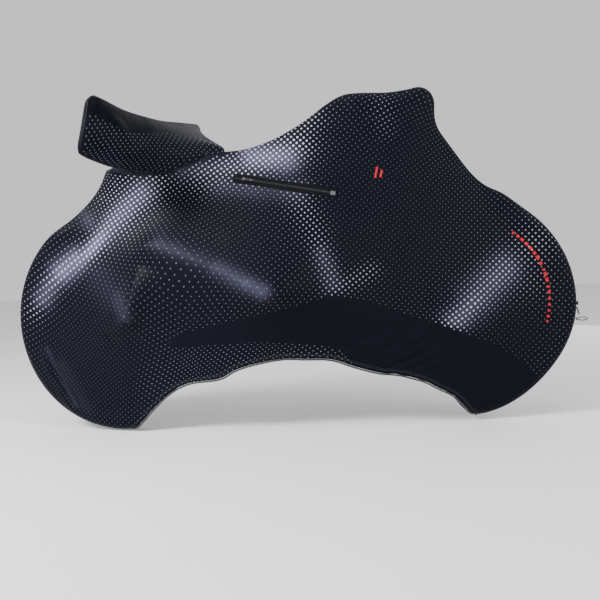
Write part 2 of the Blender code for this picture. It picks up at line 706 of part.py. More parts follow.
def skin_tree(outer):
    """A search tree of a skin's facets, split as the solid's are."""
    columns, rows = outer.shape[:2]
    index = np.arange(columns * rows).reshape(columns, rows)
    faces = [(index[i, j], index[i + 1, j], index[i + 1, j + 1], index[i, j + 1])
             for i in range(columns - 1) for j in range(rows - 1)]
    verts = [tuple(p) for p in outer.reshape(-1, 3)]
    return BVHTree.FromPolygons(verts, [tuple(int(k) for k in face) for face in faces])


def build_zip(outer):
    """The zip's tape and what is on it, laid along the near panel."""
    tree = skin_tree(outer)
    start, end = np.array(ZIP_FROM), np.array(ZIP_TO)
    length = np.linalg.norm(end - start)
    way = (end - start) / length
    square = np.array((-way[1], way[0]))
    for name, first, last, half, bottom, top, colour, roughness, metallic in ZIP_PARTS:
        steps = max(3, int(round(ZIP_STEPS * (last - first) / length)))
        low, high = [], []
        for place in np.linspace(first, last, steps):
            for across in (-half, 0.0, half):
                x, z = start + way * place + square * across
                spot, normal = tree.ray_cast((x, -1.0, z), (0.0, 1.0, 0.0))[:2]
                spot, normal = np.array(spot), np.array(normal)
                normal *= -np.sign(normal[1])
                low.append(spot + normal * bottom)
                high.append(spot + normal * top)
        outer_face = np.array(high).reshape(steps, 3, 3)
        inner_side = np.array(low).reshape(steps, 3, 3)
        finish_piece(name, *slab_mesh(outer_face, inner_side), colour, roughness, metallic)


def rear_point(angle, out):
    """A point out from the rear seam, at an angle above the hub."""
    line = rear_seam()
    angles = np.arctan2(line[:, 2] - REAR_HUB[2], line[:, 0] - REAR_HUB[0])
    spot = np.array([np.interp(angle, angles, line[:, k]) for k in range(3)])
    return spot + out * np.array((math.cos(angle), 0.0, math.sin(angle)))


def build_block(name, centre, size, turn, bevel, colour, roughness, metallic):
    """A small block with rounded edges; turn is about Y, top towards +X."""
    bm = bmesh.new()
    bmesh.ops.create_cube(bm, size=1.0)
    bmesh.ops.scale(bm, vec=size, verts=bm.verts)
    bmesh.ops.bevel(bm, geom=bm.edges[:], offset=bevel, segments=2, profile=0.5,
                    affect="EDGES")
    verts = np.array([vert.co[:] for vert in bm.verts])
    faces = [tuple(vert.index for vert in face.verts) for face in bm.faces]
    bm.free()
    c, s = math.cos(turn), math.sin(turn)
    turned = verts @ np.array(((c, 0.0, s), (0.0, 1.0, 0.0), (-s, 0.0, c))).T
    finish_piece(name, turned + centre, faces, colour, roughness, metallic)


def build_tail():
    """The rear seam's small slider, its tab, and the cord loop sewn in below it."""
    out, across, tall = TAIL_SLIDER
    build_block("tail_slider", rear_point(TAIL_SLIDER_AT, GAP * 2 + out / 2 + 0.0006),
                (out, across, tall), -TAIL_SLIDER_AT, 0.0010, (0.06, 0.06, 0.07), 0.4, 0.8)
    thick, wide, long = TAIL_TAB
    build_block("tail_tab", rear_point(TAIL_TAB_AT, 0.0062), (thick, wide, long),
                -TAIL_TAB_LEAN, 0.0005, (0.05, 0.05, 0.06), 0.5, 0.0)
    reach, half, radius = TAIL_LOOP
    turn = np.linspace(0.10, 2 * math.pi - 0.10, 34)
    round_way = 0.5 * (1 - np.cos(turn))
    base = rear_point(TAIL_LOOP_AT, radius + 0.0012)
    path = np.stack([base[0] + reach * round_way, np.full_like(turn, base[1]),
                     base[2] + half * np.sin(turn) * np.sin(turn / 2) ** 0.5], axis=1)
    finish_piece("tail_loop", *tube_mesh(path, radius, 6, np.array((0.0, 1.0, 0.0)), False),
                 (0.01, 0.01, 0.012), 0.6)


def clear_scene():
    for piece in list(bpy.data.objects):
        bpy.data.objects.remove(piece)


clear_scene()
near_faces = build_panel("near_panel", -1.0)
far_faces = build_panel("far_panel", 1.0)
build_hood("hood_back", -1.0)
build_hood("hood_front", 1.0)
build_binding(near_faces, far_faces)
build_zip(near_faces[0])
build_tail()
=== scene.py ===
import math

import bmesh
import bpy
import numpy as np
from mathutils import Matrix, Vector
from mathutils.bvhtree import BVHTree


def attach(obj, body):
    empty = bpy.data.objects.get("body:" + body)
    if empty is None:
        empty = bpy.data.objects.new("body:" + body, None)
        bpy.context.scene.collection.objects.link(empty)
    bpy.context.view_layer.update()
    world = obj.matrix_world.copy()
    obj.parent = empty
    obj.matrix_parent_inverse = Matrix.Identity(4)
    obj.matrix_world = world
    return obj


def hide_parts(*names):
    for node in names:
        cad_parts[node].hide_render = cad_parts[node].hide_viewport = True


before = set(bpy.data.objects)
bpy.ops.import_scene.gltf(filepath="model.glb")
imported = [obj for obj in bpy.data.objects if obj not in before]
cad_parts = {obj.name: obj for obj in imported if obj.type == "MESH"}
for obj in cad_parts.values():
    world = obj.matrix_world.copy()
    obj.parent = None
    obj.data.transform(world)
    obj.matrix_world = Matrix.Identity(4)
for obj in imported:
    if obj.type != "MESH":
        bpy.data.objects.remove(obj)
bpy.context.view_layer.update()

print("frame loaded")


# shapes are laid out from the wheels' contact line, then moved onto the frame's origin
# on the saddle; lengths are metres
cut = dict(
    origin=(0.300, 0.0, 1.015),
    cloth=0.002,
    gap=0.0003,
    steer=15.5,                   # degrees that the bar and the front wheel are turned by
    tyreHalf=0.024,
    frontHub=(-0.552, 0.0, 0.346),
    rearHub=(0.521, 0.0, 0.356),
    wheelRadius=0.347,
    rearFlat=0.013,               # the rear arc is cut short by this, low down behind
    steersFrom=-0.40, steersOver=0.15,   # x where the seam begins to turn with the wheel
    frontArc=(-95.5, 50.0),       # degrees above the hub's level, mouth to where it leaves
    rearArc=(-85.0, 56.0),
    neck=(                        # x, y, z, half width of what carries the front seam
        (-0.740, 0.050, 0.628, 0.024), (-0.700, 0.046, 0.653, 0.024),
        (-0.657, 0.042, 0.688, 0.022), (-0.632, 0.040, 0.715, 0.018),
        (-0.613, 0.037, 0.741, 0.016), (-0.597, 0.033, 0.769, 0.015),
        (-0.583, 0.028, 0.804, 0.015)),
    collar=(                      # x, near half, far half, z
        (-0.552, 0.026, 0.060, 0.799), (-0.493, 0.052, 0.078, 0.787),
        (-0.429, 0.064, 0.080, 0.781), (-0.370, 0.062, 0.072, 0.784),
        (-0.309, 0.048, 0.054, 0.806), (-0.266, 0.032, 0.036, 0.828),
        (-0.225, 0.016, 0.017, 0.843)),
    top=(                         # x, z, half width
        (-0.185, 0.849, 0.016), (-0.142, 0.854, 0.016), (-0.067, 0.877, 0.016),
        (0.009, 0.915, 0.016), (0.059, 0.948, 0.016), (0.110, 0.985, 0.017),
        (0.161, 1.012, 0.019), (0.215, 1.018, 0.022), (0.300, 1.017, 0.026),
        (0.359, 1.024, 0.026), (0.400, 1.031, 0.024), (0.431, 1.017, 0.020),
        (0.446, 0.985, 0.016), (0.444, 0.925, 0.014), (0.457, 0.895, 0.013),
        (0.502, 0.829, 0.012), (0.550, 0.761, 0.012), (0.574, 0.735, 0.013),
        (0.605, 0.714, 0.016), (0.650, 0.694, 0.020)),
    mouth=(                       # x, near half, far half, z
        (-0.496, 0.034, 0.020, 0.012), (-0.455, 0.052, 0.016, 0.056),
        (-0.389, 0.074, 0.014, 0.117), (-0.324, 0.092, 0.026, 0.149),
        (-0.235, 0.112, 0.052, 0.162), (-0.186, 0.120, 0.070, 0.187),
        (-0.130, 0.124, 0.084, 0.204), (-0.047, 0.122, 0.100, 0.217),
        (0.021, 0.116, 0.108, 0.214), (0.098, 0.108, 0.112, 0.209),
        (0.169, 0.098, 0.110, 0.184), (0.240, 0.090, 0.102, 0.163),
        (0.298, 0.082, 0.092, 0.155), (0.377, 0.070, 0.076, 0.131),
        (0.423, 0.060, 0.064, 0.106), (0.464, 0.050, 0.052, 0.085),
        (0.494, 0.042, 0.042, 0.058), (0.520, 0.034, 0.034, 0.028)),
)
turned = math.radians(cut["steer"])
forward = np.array((-math.cos(turned), math.sin(turned), 0.0))
barWay = np.array((math.sin(turned), math.cos(turned), 0.0))
upWay = np.array((0.0, 0.0, 1.0))
origin = np.array(cut["origin"])


def unit(vectors):
    return vectors / np.maximum(np.linalg.norm(vectors, axis=-1, keepdims=True), 1e-12)


def placed(name, data):
    piece = bpy.data.objects.new(name, data)
    bpy.context.scene.collection.objects.link(piece)
    return piece


def quadsOf(columns, rows):
    index = np.arange(columns * rows).reshape(columns, rows)
    return np.stack([index[:-1, :-1], index[1:, :-1], index[1:, 1:], index[:-1, 1:]],
                    -1).reshape(-1, 4)


def smoothLine(rows, perSpan=12):
    # a Catmull-Rom curve through rows of any number of columns
    rows = np.asarray(rows, float)
    ends = np.vstack([2 * rows[0] - rows[1], rows, 2 * rows[-1] - rows[-2]])
    t = np.linspace(0.0, 1.0, perSpan, endpoint=False)[:, None]
    spans = [0.5 * (2 * b + (c - a) * t + (2 * a - 5 * b + 4 * c - d) * t ** 2
                    + (3 * b - a - 3 * c + d) * t ** 3)
             for a, b, c, d in zip(ends, ends[1:], ends[2:], ends[3:])]
    return np.vstack(spans + [rows[-1:]])


def runLength(line):
    steps = np.linalg.norm(np.diff(line[:, :3], axis=0), axis=1)
    return np.concatenate([[0.0], np.cumsum(steps)])


def spaced(line, shares):
    length = runLength(line)
    wanted = np.asarray(shares) * length[-1]
    return np.stack([np.interp(wanted, length, line[:, k]) for k in range(line.shape[1])], 1)


def ahead(line):
    return unit(np.gradient(line[:, :3], axis=0))


def inwardOf(line, across):
    return unit(np.cross(ahead(line), across))


def wheelArc(hub, way, span, count=60):
    angle = np.radians(np.linspace(*span, count))[:, None]
    ring = np.asarray(hub) + cut["wheelRadius"] * (np.cos(angle) * way + np.sin(angle) * upWay)
    return np.hstack([ring, np.full((count, 1), cut["tyreHalf"])])


def frontSeam():
    arc = wheelArc(cut["frontHub"], forward, cut["frontArc"])
    return np.vstack([arc[:-6], smoothLine(np.vstack([arc[-6::2], cut["neck"]]))])


def rearSeam():
    arc = wheelArc(cut["rearHub"], np.array((1.0, 0.0, 0.0)), cut["rearArc"])
    angle = np.radians(np.linspace(*cut["rearArc"], len(arc)))
    short = cut["rearFlat"] * np.sin(2 * np.minimum(angle, 0.0)) ** 2
    arc[:, :3] -= short[:, None] * unit(arc[:, :3] - np.asarray(cut["rearHub"]))
    return arc


def topSeam():
    rows = [(x, 0.0, z, half) for x, z, half in cut["top"]]
    return smoothLine(np.vstack([rows, rearSeam()[-1:]]))


def collarLine(side):
    half = 1 if side < 0 else 2
    rows = [(row[0], side * row[half], row[3]) for row in cut["collar"]]
    return smoothLine(np.vstack([frontSeam()[-1:, :3], rows, topSeam()[:1, :3]]))


def mouthLine(side):
    half = 1 if side < 0 else 2
    rows = [(row[0], side * row[half], row[3]) for row in cut["mouth"]]
    return smoothLine(np.vstack([frontSeam()[:1, :3], rows, rearSeam()[:1, :3]]))


def seamAcross(line):
    # level and square to the wheel or the top tube, towards the near side
    share = np.clip((cut["steersFrom"] - line[:, 0]) / cut["steersOver"], 0, 1)[:, None]
    return unit(-(share * barWay + (1 - share) * np.array((0.0, 1.0, 0.0))))


def ridesOnRoot(piece, nodes=(), materials=()):
    for material in materials:
        piece.data.materials.append(material)
    if nodes:
        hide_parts(*nodes)
    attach(piece, "root")
    return piece


# how the cloth's grid of points is laid and drawn tight
skin = dict(
    collarSteps=18, topSteps=29, rows=28, hoodRows=13,
    edgeSteps=(0.35, 0.6, 0.85),      # the first steps from a seam, against the others
    panelPull=4.0, hoodPull=2.6,      # over 2, longer threads pull harder
    coarseRuns=900, hoodRuns=300,     # as many as the solids have
    fineness=4,                       # finer than the solids by this
    fineRuns=220,
    footBlend=4,
    settle=8,                         # runs to even it out after that
    # x, y towards its side, z and radius of where more runs are needed, and their number
    settleMore=((0.300, 0.035, 0.990, 0.090, 60),),
    foldRise=10, foldFade=0.7,        # points from a seam to full folds, how they fade
    rodReach=0.035,                   # how far from a rod points are tried against it
    undercut=0.05, rodLean=0.3,       # points under a rod are led round it, outwards
    damping=0.9, hardDamping=1.3, leastStretch=1e-6,
    pushEvery=8, finePushEvery=24,    # runs between pushes out of the rods, and how many of
    lastPushes=5, relistAt=12,        # the last runs push; the push that lists points anew
)


def gridSteps(count, seamFirst, seamLast, times=1):
    steps = np.ones(count * times)
    for place, size in enumerate(skin["edgeSteps"]):
        part = slice(place * times, (place + 1) * times)
        if seamFirst:
            steps[part] = size
        if seamLast:
            steps[::-1][part] = size
    return steps / steps.mean()


def sharesOf(steps):
    return np.concatenate([[0.0], np.cumsum(steps)]) / np.sum(steps)


def panelSteps(side, times=1):
    rim, top = runLength(collarLine(side))[-1], runLength(topSeam())[-1]
    atCollar = skin["collarSteps"] * times
    steps = gridSteps(skin["collarSteps"] + skin["topSteps"], True, True, times)
    steps[:atCollar] *= rim / steps[:atCollar].sum()
    steps[atCollar:] *= top / steps[atCollar:].sum()
    return steps / steps.mean(), gridSteps(skin["rows"], False, True, times)


def collarPoints(side, times=1):
    wide = panelSteps(side, times)[0]
    rim = spaced(collarLine(side), sharesOf(wide[:skin["collarSteps"] * times]))
    front, top = frontSeam(), topSeam()
    first = inwardOf(front, seamAcross(front))[-1]
    last = inwardOf(top, seamAcross(top))[0]
    t = np.linspace(0.0, 1.0, len(rim))[:, None]
    middle = np.array((0.0, -side, 0.0))
    inward = unit(first * (1 - t) ** 3 + middle * 4 * t * (1 - t) + last * t ** 3)
    return rim, inward, side * unit(np.cross(ahead(rim), inward))


def startPatch(edges, wide, tall):
    left, top, right, bottom = edges
    u, v = sharesOf(wide)[:, None, None], sharesOf(tall)[None, :, None]
    corners = ((1 - u) * (1 - v) * bottom[0] + u * (1 - v) * bottom[-1]
               + (1 - u) * v * top[0] + u * v * top[-1])
    return ((1 - u) * left[None] + u * right[None]
            + (1 - v) * bottom[:, None] + v * top[:, None] - corners)


def refined(grid, oldSteps, newSteps):
    # the same surface at other steps, straight between the old points
    for axis in (0, 1):
        old, new = sharesOf(oldSteps[axis]), sharesOf(newSteps[axis])
        place = np.clip(np.searchsorted(old, new, side="right") - 1, 0, len(old) - 2)
        t = (new - old[place]) / (old[place + 1] - old[place])
        t = t.reshape((-1, 1, 1) if axis == 0 else (1, -1, 1))
        low, high = np.take(grid, place, axis=axis), np.take(grid, place + 1, axis=axis)
        grid = low * (1 - t) + high * t
    return grid


def liftOverBars(grid, bars, base, along, up, out):
    away = grid - base
    flat = np.stack([away @ along, away @ up], axis=-1)
    height = away @ out
    for bar in bars:
        start, run = np.array(bar[:2]), np.array(bar[3:5]) - np.array(bar[:2])
        t = np.clip(((flat - start) @ run) / (run @ run), 0, 1)
        off = np.linalg.norm(flat - (start + t[..., None] * run), axis=-1)
        reach = bar[2] + (bar[5] - bar[2]) * t - 0.5 * bar[6] * np.minimum(off / bar[6], 1) ** 2
        short = np.where(off < bar[6], np.maximum(reach - height, 0), 0)
        grid = grid + short[..., None] * out
        height = height + short
    return grid


def nearestOnRods(points, rods):
    # depth under the nearest rod's surface, the way out of it and its centre and radius
    best = None
    for rod in rods:
        start, run = rod[:-1], np.diff(rod, axis=0)
        length = np.sum(run[:, :3] ** 2, axis=1)
        fromStart = points[:, None] - start[None, :, :3]
        t = np.clip(np.sum(fromStart * run[None, :, :3], axis=2) / length, 0, 1)
        away = fromStart - t[..., None] * run[None, :, :3]
        radius = start[None, :, 3] + t * run[None, :, 3]
        depth = np.linalg.norm(away, axis=2) - radius
        pick = (np.arange(len(points)), np.argmin(depth, axis=1))
        found = (depth[pick], away[pick], radius[pick])
        if best is None:
            best = found
        else:
            closer = found[0] < best[0]
            best = tuple(np.where(closer.reshape((-1,) + (1,) * (new.ndim - 1)), new, old)
                         for new, old in zip(found, best))
    return best


def pushFromRods(grid, rods, outward, close):
    # each rod in turn, as the solids are made
    flat = grid.reshape(-1, 3)
    for rod, index in zip(rods, close):
        for part in np.array_split(index, max(1, len(index) // 3000)):
            depth, away, radius = nearestOnRods(flat[part], [rod])
            way = unit(away)
            lean = np.where(way @ outward < skin["undercut"], skin["rodLean"], 0.0)[:, None]
            moved = flat[part] - away + unit(way + lean * outward) * radius[:, None]
            flat[part] = np.where((depth < 0)[:, None], moved, flat[part])
    return flat.reshape(grid.shape)


def closeTo(grid, rods):
    # which points of the grid each rod can ever reach
    flat = grid.reshape(-1, 3)
    lists = []
    for rod in rods:
        parts = [nearestOnRods(part, [rod])[0]
                 for part in np.array_split(flat, 1 + len(flat) // 3000)]
        lists.append(np.flatnonzero(np.concatenate(parts) < skin["rodReach"]))
    return lists


def relax(grid, steps, runs, power, rods, outward, lift, every=skin["pushEvery"]):
    # draws the grid tight between its edges, over the rods and what lift stands on
    wide, tall = steps
    held = grid.copy()
    damping = skin["damping"] if power < 3 else skin["hardDamping"] / (power - 1)
    edges = ((0, slice(None)), (-1, slice(None)), (slice(None), 0), (slice(None), -1))
    close = None
    for run in range(runs):
        across = np.sum((np.diff(grid, axis=0) / wide[:, None, None]) ** 2, axis=2)
        up = np.sum((np.diff(grid, axis=1) / tall[None, :, None]) ** 2, axis=2)
        stretch = 0.5 * (across[:, :-1] + across[:, 1:] + up[:-1] + up[1:])
        pull = np.pad((stretch + skin["leastStretch"]) ** (power / 2 - 1), 1)
        across = pull[1:-1] * np.pad(tall, 1)[None] / wide[:, None]
        up = pull[:, 1:-1] * np.pad(wide, 1)[:, None] / tall[None]
        across = (0.5 * (across[:, :-1] + across[:, 1:]))[..., None]
        up = (0.5 * (up[:-1] + up[1:]))[..., None]
        total = (across[:-1, 1:-1] * grid[:-2, 1:-1] + across[1:, 1:-1] * grid[2:, 1:-1]
                 + up[1:-1, :-1] * grid[1:-1, :-2] + up[1:-1, 1:] * grid[1:-1, 2:])
        weight = across[:-1, 1:-1] + across[1:, 1:-1] + up[1:-1, :-1] + up[1:-1, 1:]
        grid[1:-1, 1:-1] += damping * (total / weight - grid[1:-1, 1:-1])
        grid = lift(grid)
        if run % every == 0 or run >= runs - skin["lastPushes"]:
            if close is None or run == every * skin["relistAt"]:
                close = closeTo(grid, rods)
            grid = pushFromRods(grid, rods, outward, close)
        for edge in edges:
            grid[edge] = held[edge]
    return grid


def settle(grid, runs, zones=()):
    # evens out the kinks that the rods leave; zones are place, radius and further runs
    for centre, radius, more in ((None, None, runs), *zones):
        share = 0.5
        if centre is not None:
            off = np.linalg.norm(grid - np.array(centre), axis=-1)
            share = 0.5 * np.clip(2 - 2 * off / radius, 0, 1)[1:-1, 1:-1, None]
        for run in range(more):
            mean = 0.25 * (grid[:-2, 1:-1] + grid[2:, 1:-1] + grid[1:-1, :-2] + grid[1:-1, 2:])
            grid[1:-1, 1:-1] += share * (mean - grid[1:-1, 1:-1])
    return grid


def rodUnder(line, inward):
    return np.hstack([line[:, :3] + inward * line[:, 3:4], line[:, 3:4]])


# what stands out under the side panels: side, x, z, reach, end x, end z, end reach, radius
underSides = (
    (-1.0, -0.518, 0.352, 0.092, -0.512, 0.352, 0.092, 0.014),
    (-1.0, -0.512, 0.356, 0.090, -0.480, 0.455, 0.066, 0.010),
    (-1.0, -0.440, 0.560, 0.092, -0.130, 0.438, 0.194, 0.016),
    (-1.0, -0.130, 0.434, 0.198, -0.066, 0.408, 0.206, 0.022),
    (-1.0, 0.515, 0.356, 0.070, 0.527, 0.356, 0.070, 0.020),
    (1.0, -0.518, 0.352, 0.086, -0.512, 0.352, 0.086, 0.014),
    (1.0, 0.165, 0.292, 0.196, 0.245, 0.286, 0.190, 0.022),
    (1.0, 0.515, 0.356, 0.082, 0.527, 0.356, 0.082, 0.022),
)
underSaddle = (                       # x, half width, z, radius
    (0.190, 0.012, 0.997, 0.016), (0.285, 0.024, 0.995, 0.018), (0.355, 0.050, 0.997, 0.018),
    (0.408, 0.060, 1.003, 0.018), (0.425, 0.048, 0.999, 0.016),
)


def sideEdges(side, times):
    wide, tall = panelSteps(side, times)
    half = 0.5 * cut["gap"]
    left, right = spaced(frontSeam(), sharesOf(tall)), spaced(rearSeam(), sharesOf(tall))
    rim, rimIn, below = collarPoints(side, times)
    top = spaced(topSeam(), sharesOf(wide[skin["collarSteps"] * times:]))
    outward = np.array((0.0, side, 0.0))
    leftEdge = left[:, :3] - side * half * seamAcross(left)
    rightEdge = right[:, :3] + half * outward
    topEdge = top[:, :3] + half * outward
    rimEdge = rim + half * below
    leftEdge[-1] += half * below[0]
    topEdge[0] += half * below[-1]
    upper = np.vstack([leftEdge[-1:], rimEdge[1:-1], topEdge])
    upperIn = np.vstack([rimIn, inwardOf(top, seamAcross(top))[1:]])
    bottom = spaced(mouthLine(side), sharesOf(wide))
    bottom[0], bottom[-1] = leftEdge[0], rightEdge[0]
    ways = (inwardOf(left, seamAcross(left)), upperIn, -inwardOf(right, seamAcross(right)))
    return (leftEdge, upper, rightEdge, bottom), ways


def setEdges(grid, edges):
    left, top, right, bottom = edges
    grid[0], grid[-1], grid[:, -1], grid[:, 0] = left, right, top, bottom
    return grid


def sideSkin(side):
    # the panel's outer face and its print coordinates, fine; and the ways in at its edges
    steps = panelSteps(side)
    rods = [rodUnder(line[::2], inwardOf(line, seamAcross(line))[::2] * turn)
            for line, turn in ((frontSeam(), 1), (rearSeam(), -1), (topSeam(), 1))]
    rods.append(smoothLine([(x, side * half, z, r) for x, half, z, r in underSaddle], 6))
    out = np.array((0.0, side, 0.0))
    bars = [row[1:] for row in underSides if row[0] == side]

    def lift(points):
        return liftOverBars(points, bars, np.zeros(3), np.array((1.0, 0.0, 0.0)), upWay, out)

    edges = sideEdges(side, 1)[0]
    grid = startPatch(edges, *steps)
    grid = relax(grid, steps, skin["coarseRuns"], skin["panelPull"], rods, out, lift)
    flat = flattened(grid, np.array((1.0, 0.0, 0.0)), upWay)
    times = skin["fineness"]
    fineSteps = panelSteps(side, times)
    edges, ways = sideEdges(side, times)
    both = refined(np.concatenate([grid, flat], axis=2), steps, fineSteps)
    grid = setEdges(both[..., :3].copy(), edges)
    grid = relax(grid, fineSteps, skin["fineRuns"], skin["panelPull"], rods, out, lift,
                 skin["finePushEvery"])
    zones = [((x, side * y, z), radius, runs) for x, y, z, radius, runs in skin["settleMore"]]
    return settle(grid, skin["settle"], zones), both[..., 3:], ways


def flattened(grid, along, up):
    # the cloth laid flat, as it was cut and printed, turned to lie as the grid does
    columns, rows = grid.shape[:2]
    mesh = bpy.data.meshes.new("flatCloth")
    mesh.from_pydata(grid.reshape(-1, 3).tolist(), [], quadsOf(columns, rows).tolist())
    piece = placed("flatCloth", mesh)
    mesh.uv_layers.new(name="flat")
    bpy.context.view_layer.objects.active = piece
    piece.select_set(True)
    bpy.ops.object.mode_set(mode="EDIT")
    bpy.ops.mesh.select_all(action="SELECT")
    bpy.ops.uv.unwrap(method="ANGLE_BASED", margin=0.0)
    bpy.ops.object.mode_set(mode="OBJECT")
    corner = np.empty(len(mesh.loops), int)
    mesh.loops.foreach_get("vertex_index", corner)
    place = np.empty(2 * len(mesh.loops))
    mesh.uv_layers[0].uv.foreach_get("vector", place)
    flat = np.zeros((columns * rows, 2))
    flat[corner] = place.reshape(-1, 2)
    bpy.data.objects.remove(piece)
    bpy.data.meshes.remove(mesh)
    goal = grid.reshape(-1, 3) @ np.stack([along, up], 1)
    goal = goal[:, 0] + 1j * goal[:, 1]
    best = None
    for turn in (1, -1):              # as seen from outside, or from inside
        found = flat[:, 0] + 1j * turn * flat[:, 1]
        fit = np.linalg.lstsq(np.stack([found, np.ones_like(found)], 1), goal, rcond=None)[0]
        wrong = np.abs(found * fit[0] + fit[1] - goal).mean()
        if best is None or wrong < best[0]:
            best = (wrong, found * fit[0] + fit[1])
    lying = best[1]
    middle = lying.mean()
    square = lying.reshape(columns, rows)
    flatCells = np.abs(np.imag(np.conj(np.diff(square, axis=0)[:, :-1])
                               * np.diff(square, axis=1)[:-1])).sum()
    realCells = np.linalg.norm(np.cross(np.diff(grid, axis=0)[:, :-1],
                                        np.diff(grid, axis=1)[:-1]), axis=2).sum()
    lying = middle + (lying - middle) * math.sqrt(realCells / flatCells)
    print("flattened, mean shift", round(float(best[0]), 4), "m, area", round(float(realCells), 3))
    return np.stack([lying.real, lying.imag], 1).reshape(columns, rows, 2)


hood = dict(
    middle=(-0.425, 0.0),
    ridge=(                           # along the bar, forward of it, height
        (-0.366, 0.018, 0.948), (-0.352, 0.010, 0.962), (-0.320, 0.006, 0.962),
        (-0.200, 0.002, 0.950), (-0.050, 0.000, 0.953), (0.060, 0.000, 0.960),
        (0.200, 0.000, 0.977), (0.320, 0.000, 0.991), (0.350, 0.000, 0.993),
        (0.366, 0.002, 0.981)),
    nearEar=((-0.150, 0.050, 0.790), (-0.260, 0.060, 0.799), (-0.345, 0.052, 0.806),
             (-0.367, 0.046, 0.818), (-0.370, 0.030, 0.880)),
    farEar=((0.160, 0.040, 0.798), (0.260, 0.044, 0.816), (0.345, 0.034, 0.834),
            (0.367, 0.030, 0.846), (0.370, 0.016, 0.910)),
    half=0.017,
    earEnd=0.370, earRound=0.03, earFrom=0.10, earRise=0.06,
    farBars=((0.335, 0.972, 0.014, 0.230, 0.918, 0.084, 0.020),
             (0.230, 0.918, 0.084, 0.150, 0.884, 0.144, 0.020),
             (0.150, 0.884, 0.144, 0.085, 0.860, 0.202, 0.018)),
)
barBase = np.array((*hood["middle"], 0.0))


def barPoints(rows):
    rows = np.asarray(rows, float)
    return barBase + rows[:, :1] * barWay + rows[:, 1:2] * forward + rows[:, 2:3] * upWay


def fillEars(grid, face):
    # out of what fills the ears, a slab with round edges
    away = grid - barBase
    along, forth, height = away @ barWay, away @ forward, grid[..., 2]
    ridge = np.asarray(hood["ridge"])
    feet = np.vstack([np.asarray(hood["nearEar"])[3::-1], np.asarray(hood["farEar"])[:4]])
    top, topWay = (np.interp(along, ridge[:, 0], ridge[:, k]) for k in (2, 1))
    foot, footWay = (np.interp(along, feet[:, 0], feet[:, k]) for k in (2, 1))
    share = np.clip((height - foot) / (top - foot), 0, 1)
    roundUp = np.sqrt(np.clip(1 - (2 * share - 1) ** 4, 0, 1))
    toEnd = np.clip((hood["earEnd"] - np.abs(along)) / hood["earRound"], 0, 1)
    inner = np.clip((np.abs(along) - hood["earFrom"]) / hood["earRise"], 0, 1)
    half = hood["half"] * roundUp * np.sqrt(toEnd) * inner
    short = np.maximum(half - face * (forth - footWay - share * (topWay - footWay)), 0)
    return grid + (face * short * (inner > 0))[..., None] * forward


def hoodOutline(times):
    middle = skin["collarSteps"] * times // 2
    feet = [collarPoints(side, times)[0][middle][None] for side in (-1.0, 1.0)]
    ridge = barPoints(hood["ridge"])
    near = smoothLine(np.vstack([feet[0], barPoints(hood["nearEar"]), ridge[:1]]))
    far = smoothLine(np.vstack([feet[1], barPoints(hood["farEar"]), ridge[-1:]]))
    return near, smoothLine(ridge), far


def hoodEdges(face, times):
    half = skin["collarSteps"] * times // 2
    part = slice(half, None, -1) if face > 0 else slice(half, None)
    lines, ways = [], []
    for side in (-1.0, 1.0):
        rim, inward, below = collarPoints(side, times)
        lines.append((rim - 0.5 * cut["gap"] * below)[part])
        ways.append(inward[part])
    rim = np.vstack([lines[0][:-1], 0.5 * (lines[0][-1:] + lines[1][-1:]), lines[1][-2::-1]])
    fromFoot = np.minimum(np.arange(len(rim)), np.arange(len(rim))[::-1])
    blend = skin["footBlend"] * times / 2
    rise = np.clip(1 - fromFoot / blend, 0, 1)[:, None]
    rimIn = unit(np.vstack([ways[0], ways[1][-2::-1]]) + rise * upWay)
    tall = gridSteps(skin["hoodRows"], False, True, times)
    wide = gridSteps(len(rim) - 1, True, True)
    near, ridge, far = [spaced(line, sharesOf(s)) for line, s
                        in zip(hoodOutline(times), (tall, wide, tall))]
    nearIn, farIn = unit(np.cross(forward, ahead(near))), unit(np.cross(ahead(far), forward))
    ridgeIn = unit(np.cross(forward, ahead(ridge)))
    offset = face * 0.5 * cut["gap"] * forward
    rim[0] += offset
    rim[-1] += offset
    edges = [near + offset, ridge + offset, far + offset, rim]
    edges[0][0], edges[2][0] = rim[0], rim[-1]
    count = skin["footBlend"] * times
    for way, foot in ((nearIn, rimIn[0]), (farIn, rimIn[-1])):
        share = np.linspace(1.0, 0.0, count, endpoint=False)[:, None]
        way[:count] = unit(share * foot + (1 - share) * way[:count])
    rods = [rodUnder(np.insert(ridge, 3, hood["half"], axis=1), ridgeIn)]
    for line, way in ((near, nearIn), (far, farIn)):
        widths = hood["half"] * np.clip(np.arange(len(line)) / count, 0.05, 1.0)
        rods.append(rodUnder(np.column_stack([line, widths]), way))
    return edges, (nearIn, ridgeIn, farIn, rimIn), (wide, tall), rods


def hoodSkin(face):
    def lift(points):
        points = fillEars(points, face)
        if face < 0:
            points = liftOverBars(points, hood["farBars"], barBase, barWay, upWay, -forward)
        return points

    edges, ways, steps, rods = hoodEdges(face, 1)
    grid = startPatch(edges, *steps)
    grid = relax(grid, steps, skin["hoodRuns"], skin["hoodPull"], rods, face * forward, lift)
    flat = flattened(grid, barWay, upWay)
    edges, ways, fineSteps, rods = hoodEdges(face, skin["fineness"])
    both = refined(np.concatenate([grid, flat], axis=2), steps, fineSteps)
    grid = setEdges(both[..., :3].copy(), edges)
    grid = relax(grid, fineSteps, skin["fineRuns"] // 2, skin["hoodPull"], rods,
                 face * forward, lift, skin["finePushEvery"])
    return settle(grid, skin["settle"]), both[..., 3:], ways


def skinNormals(grid, outSign):
    return outSign * unit(np.cross(np.gradient(grid, axis=0), np.gradient(grid, axis=1)))


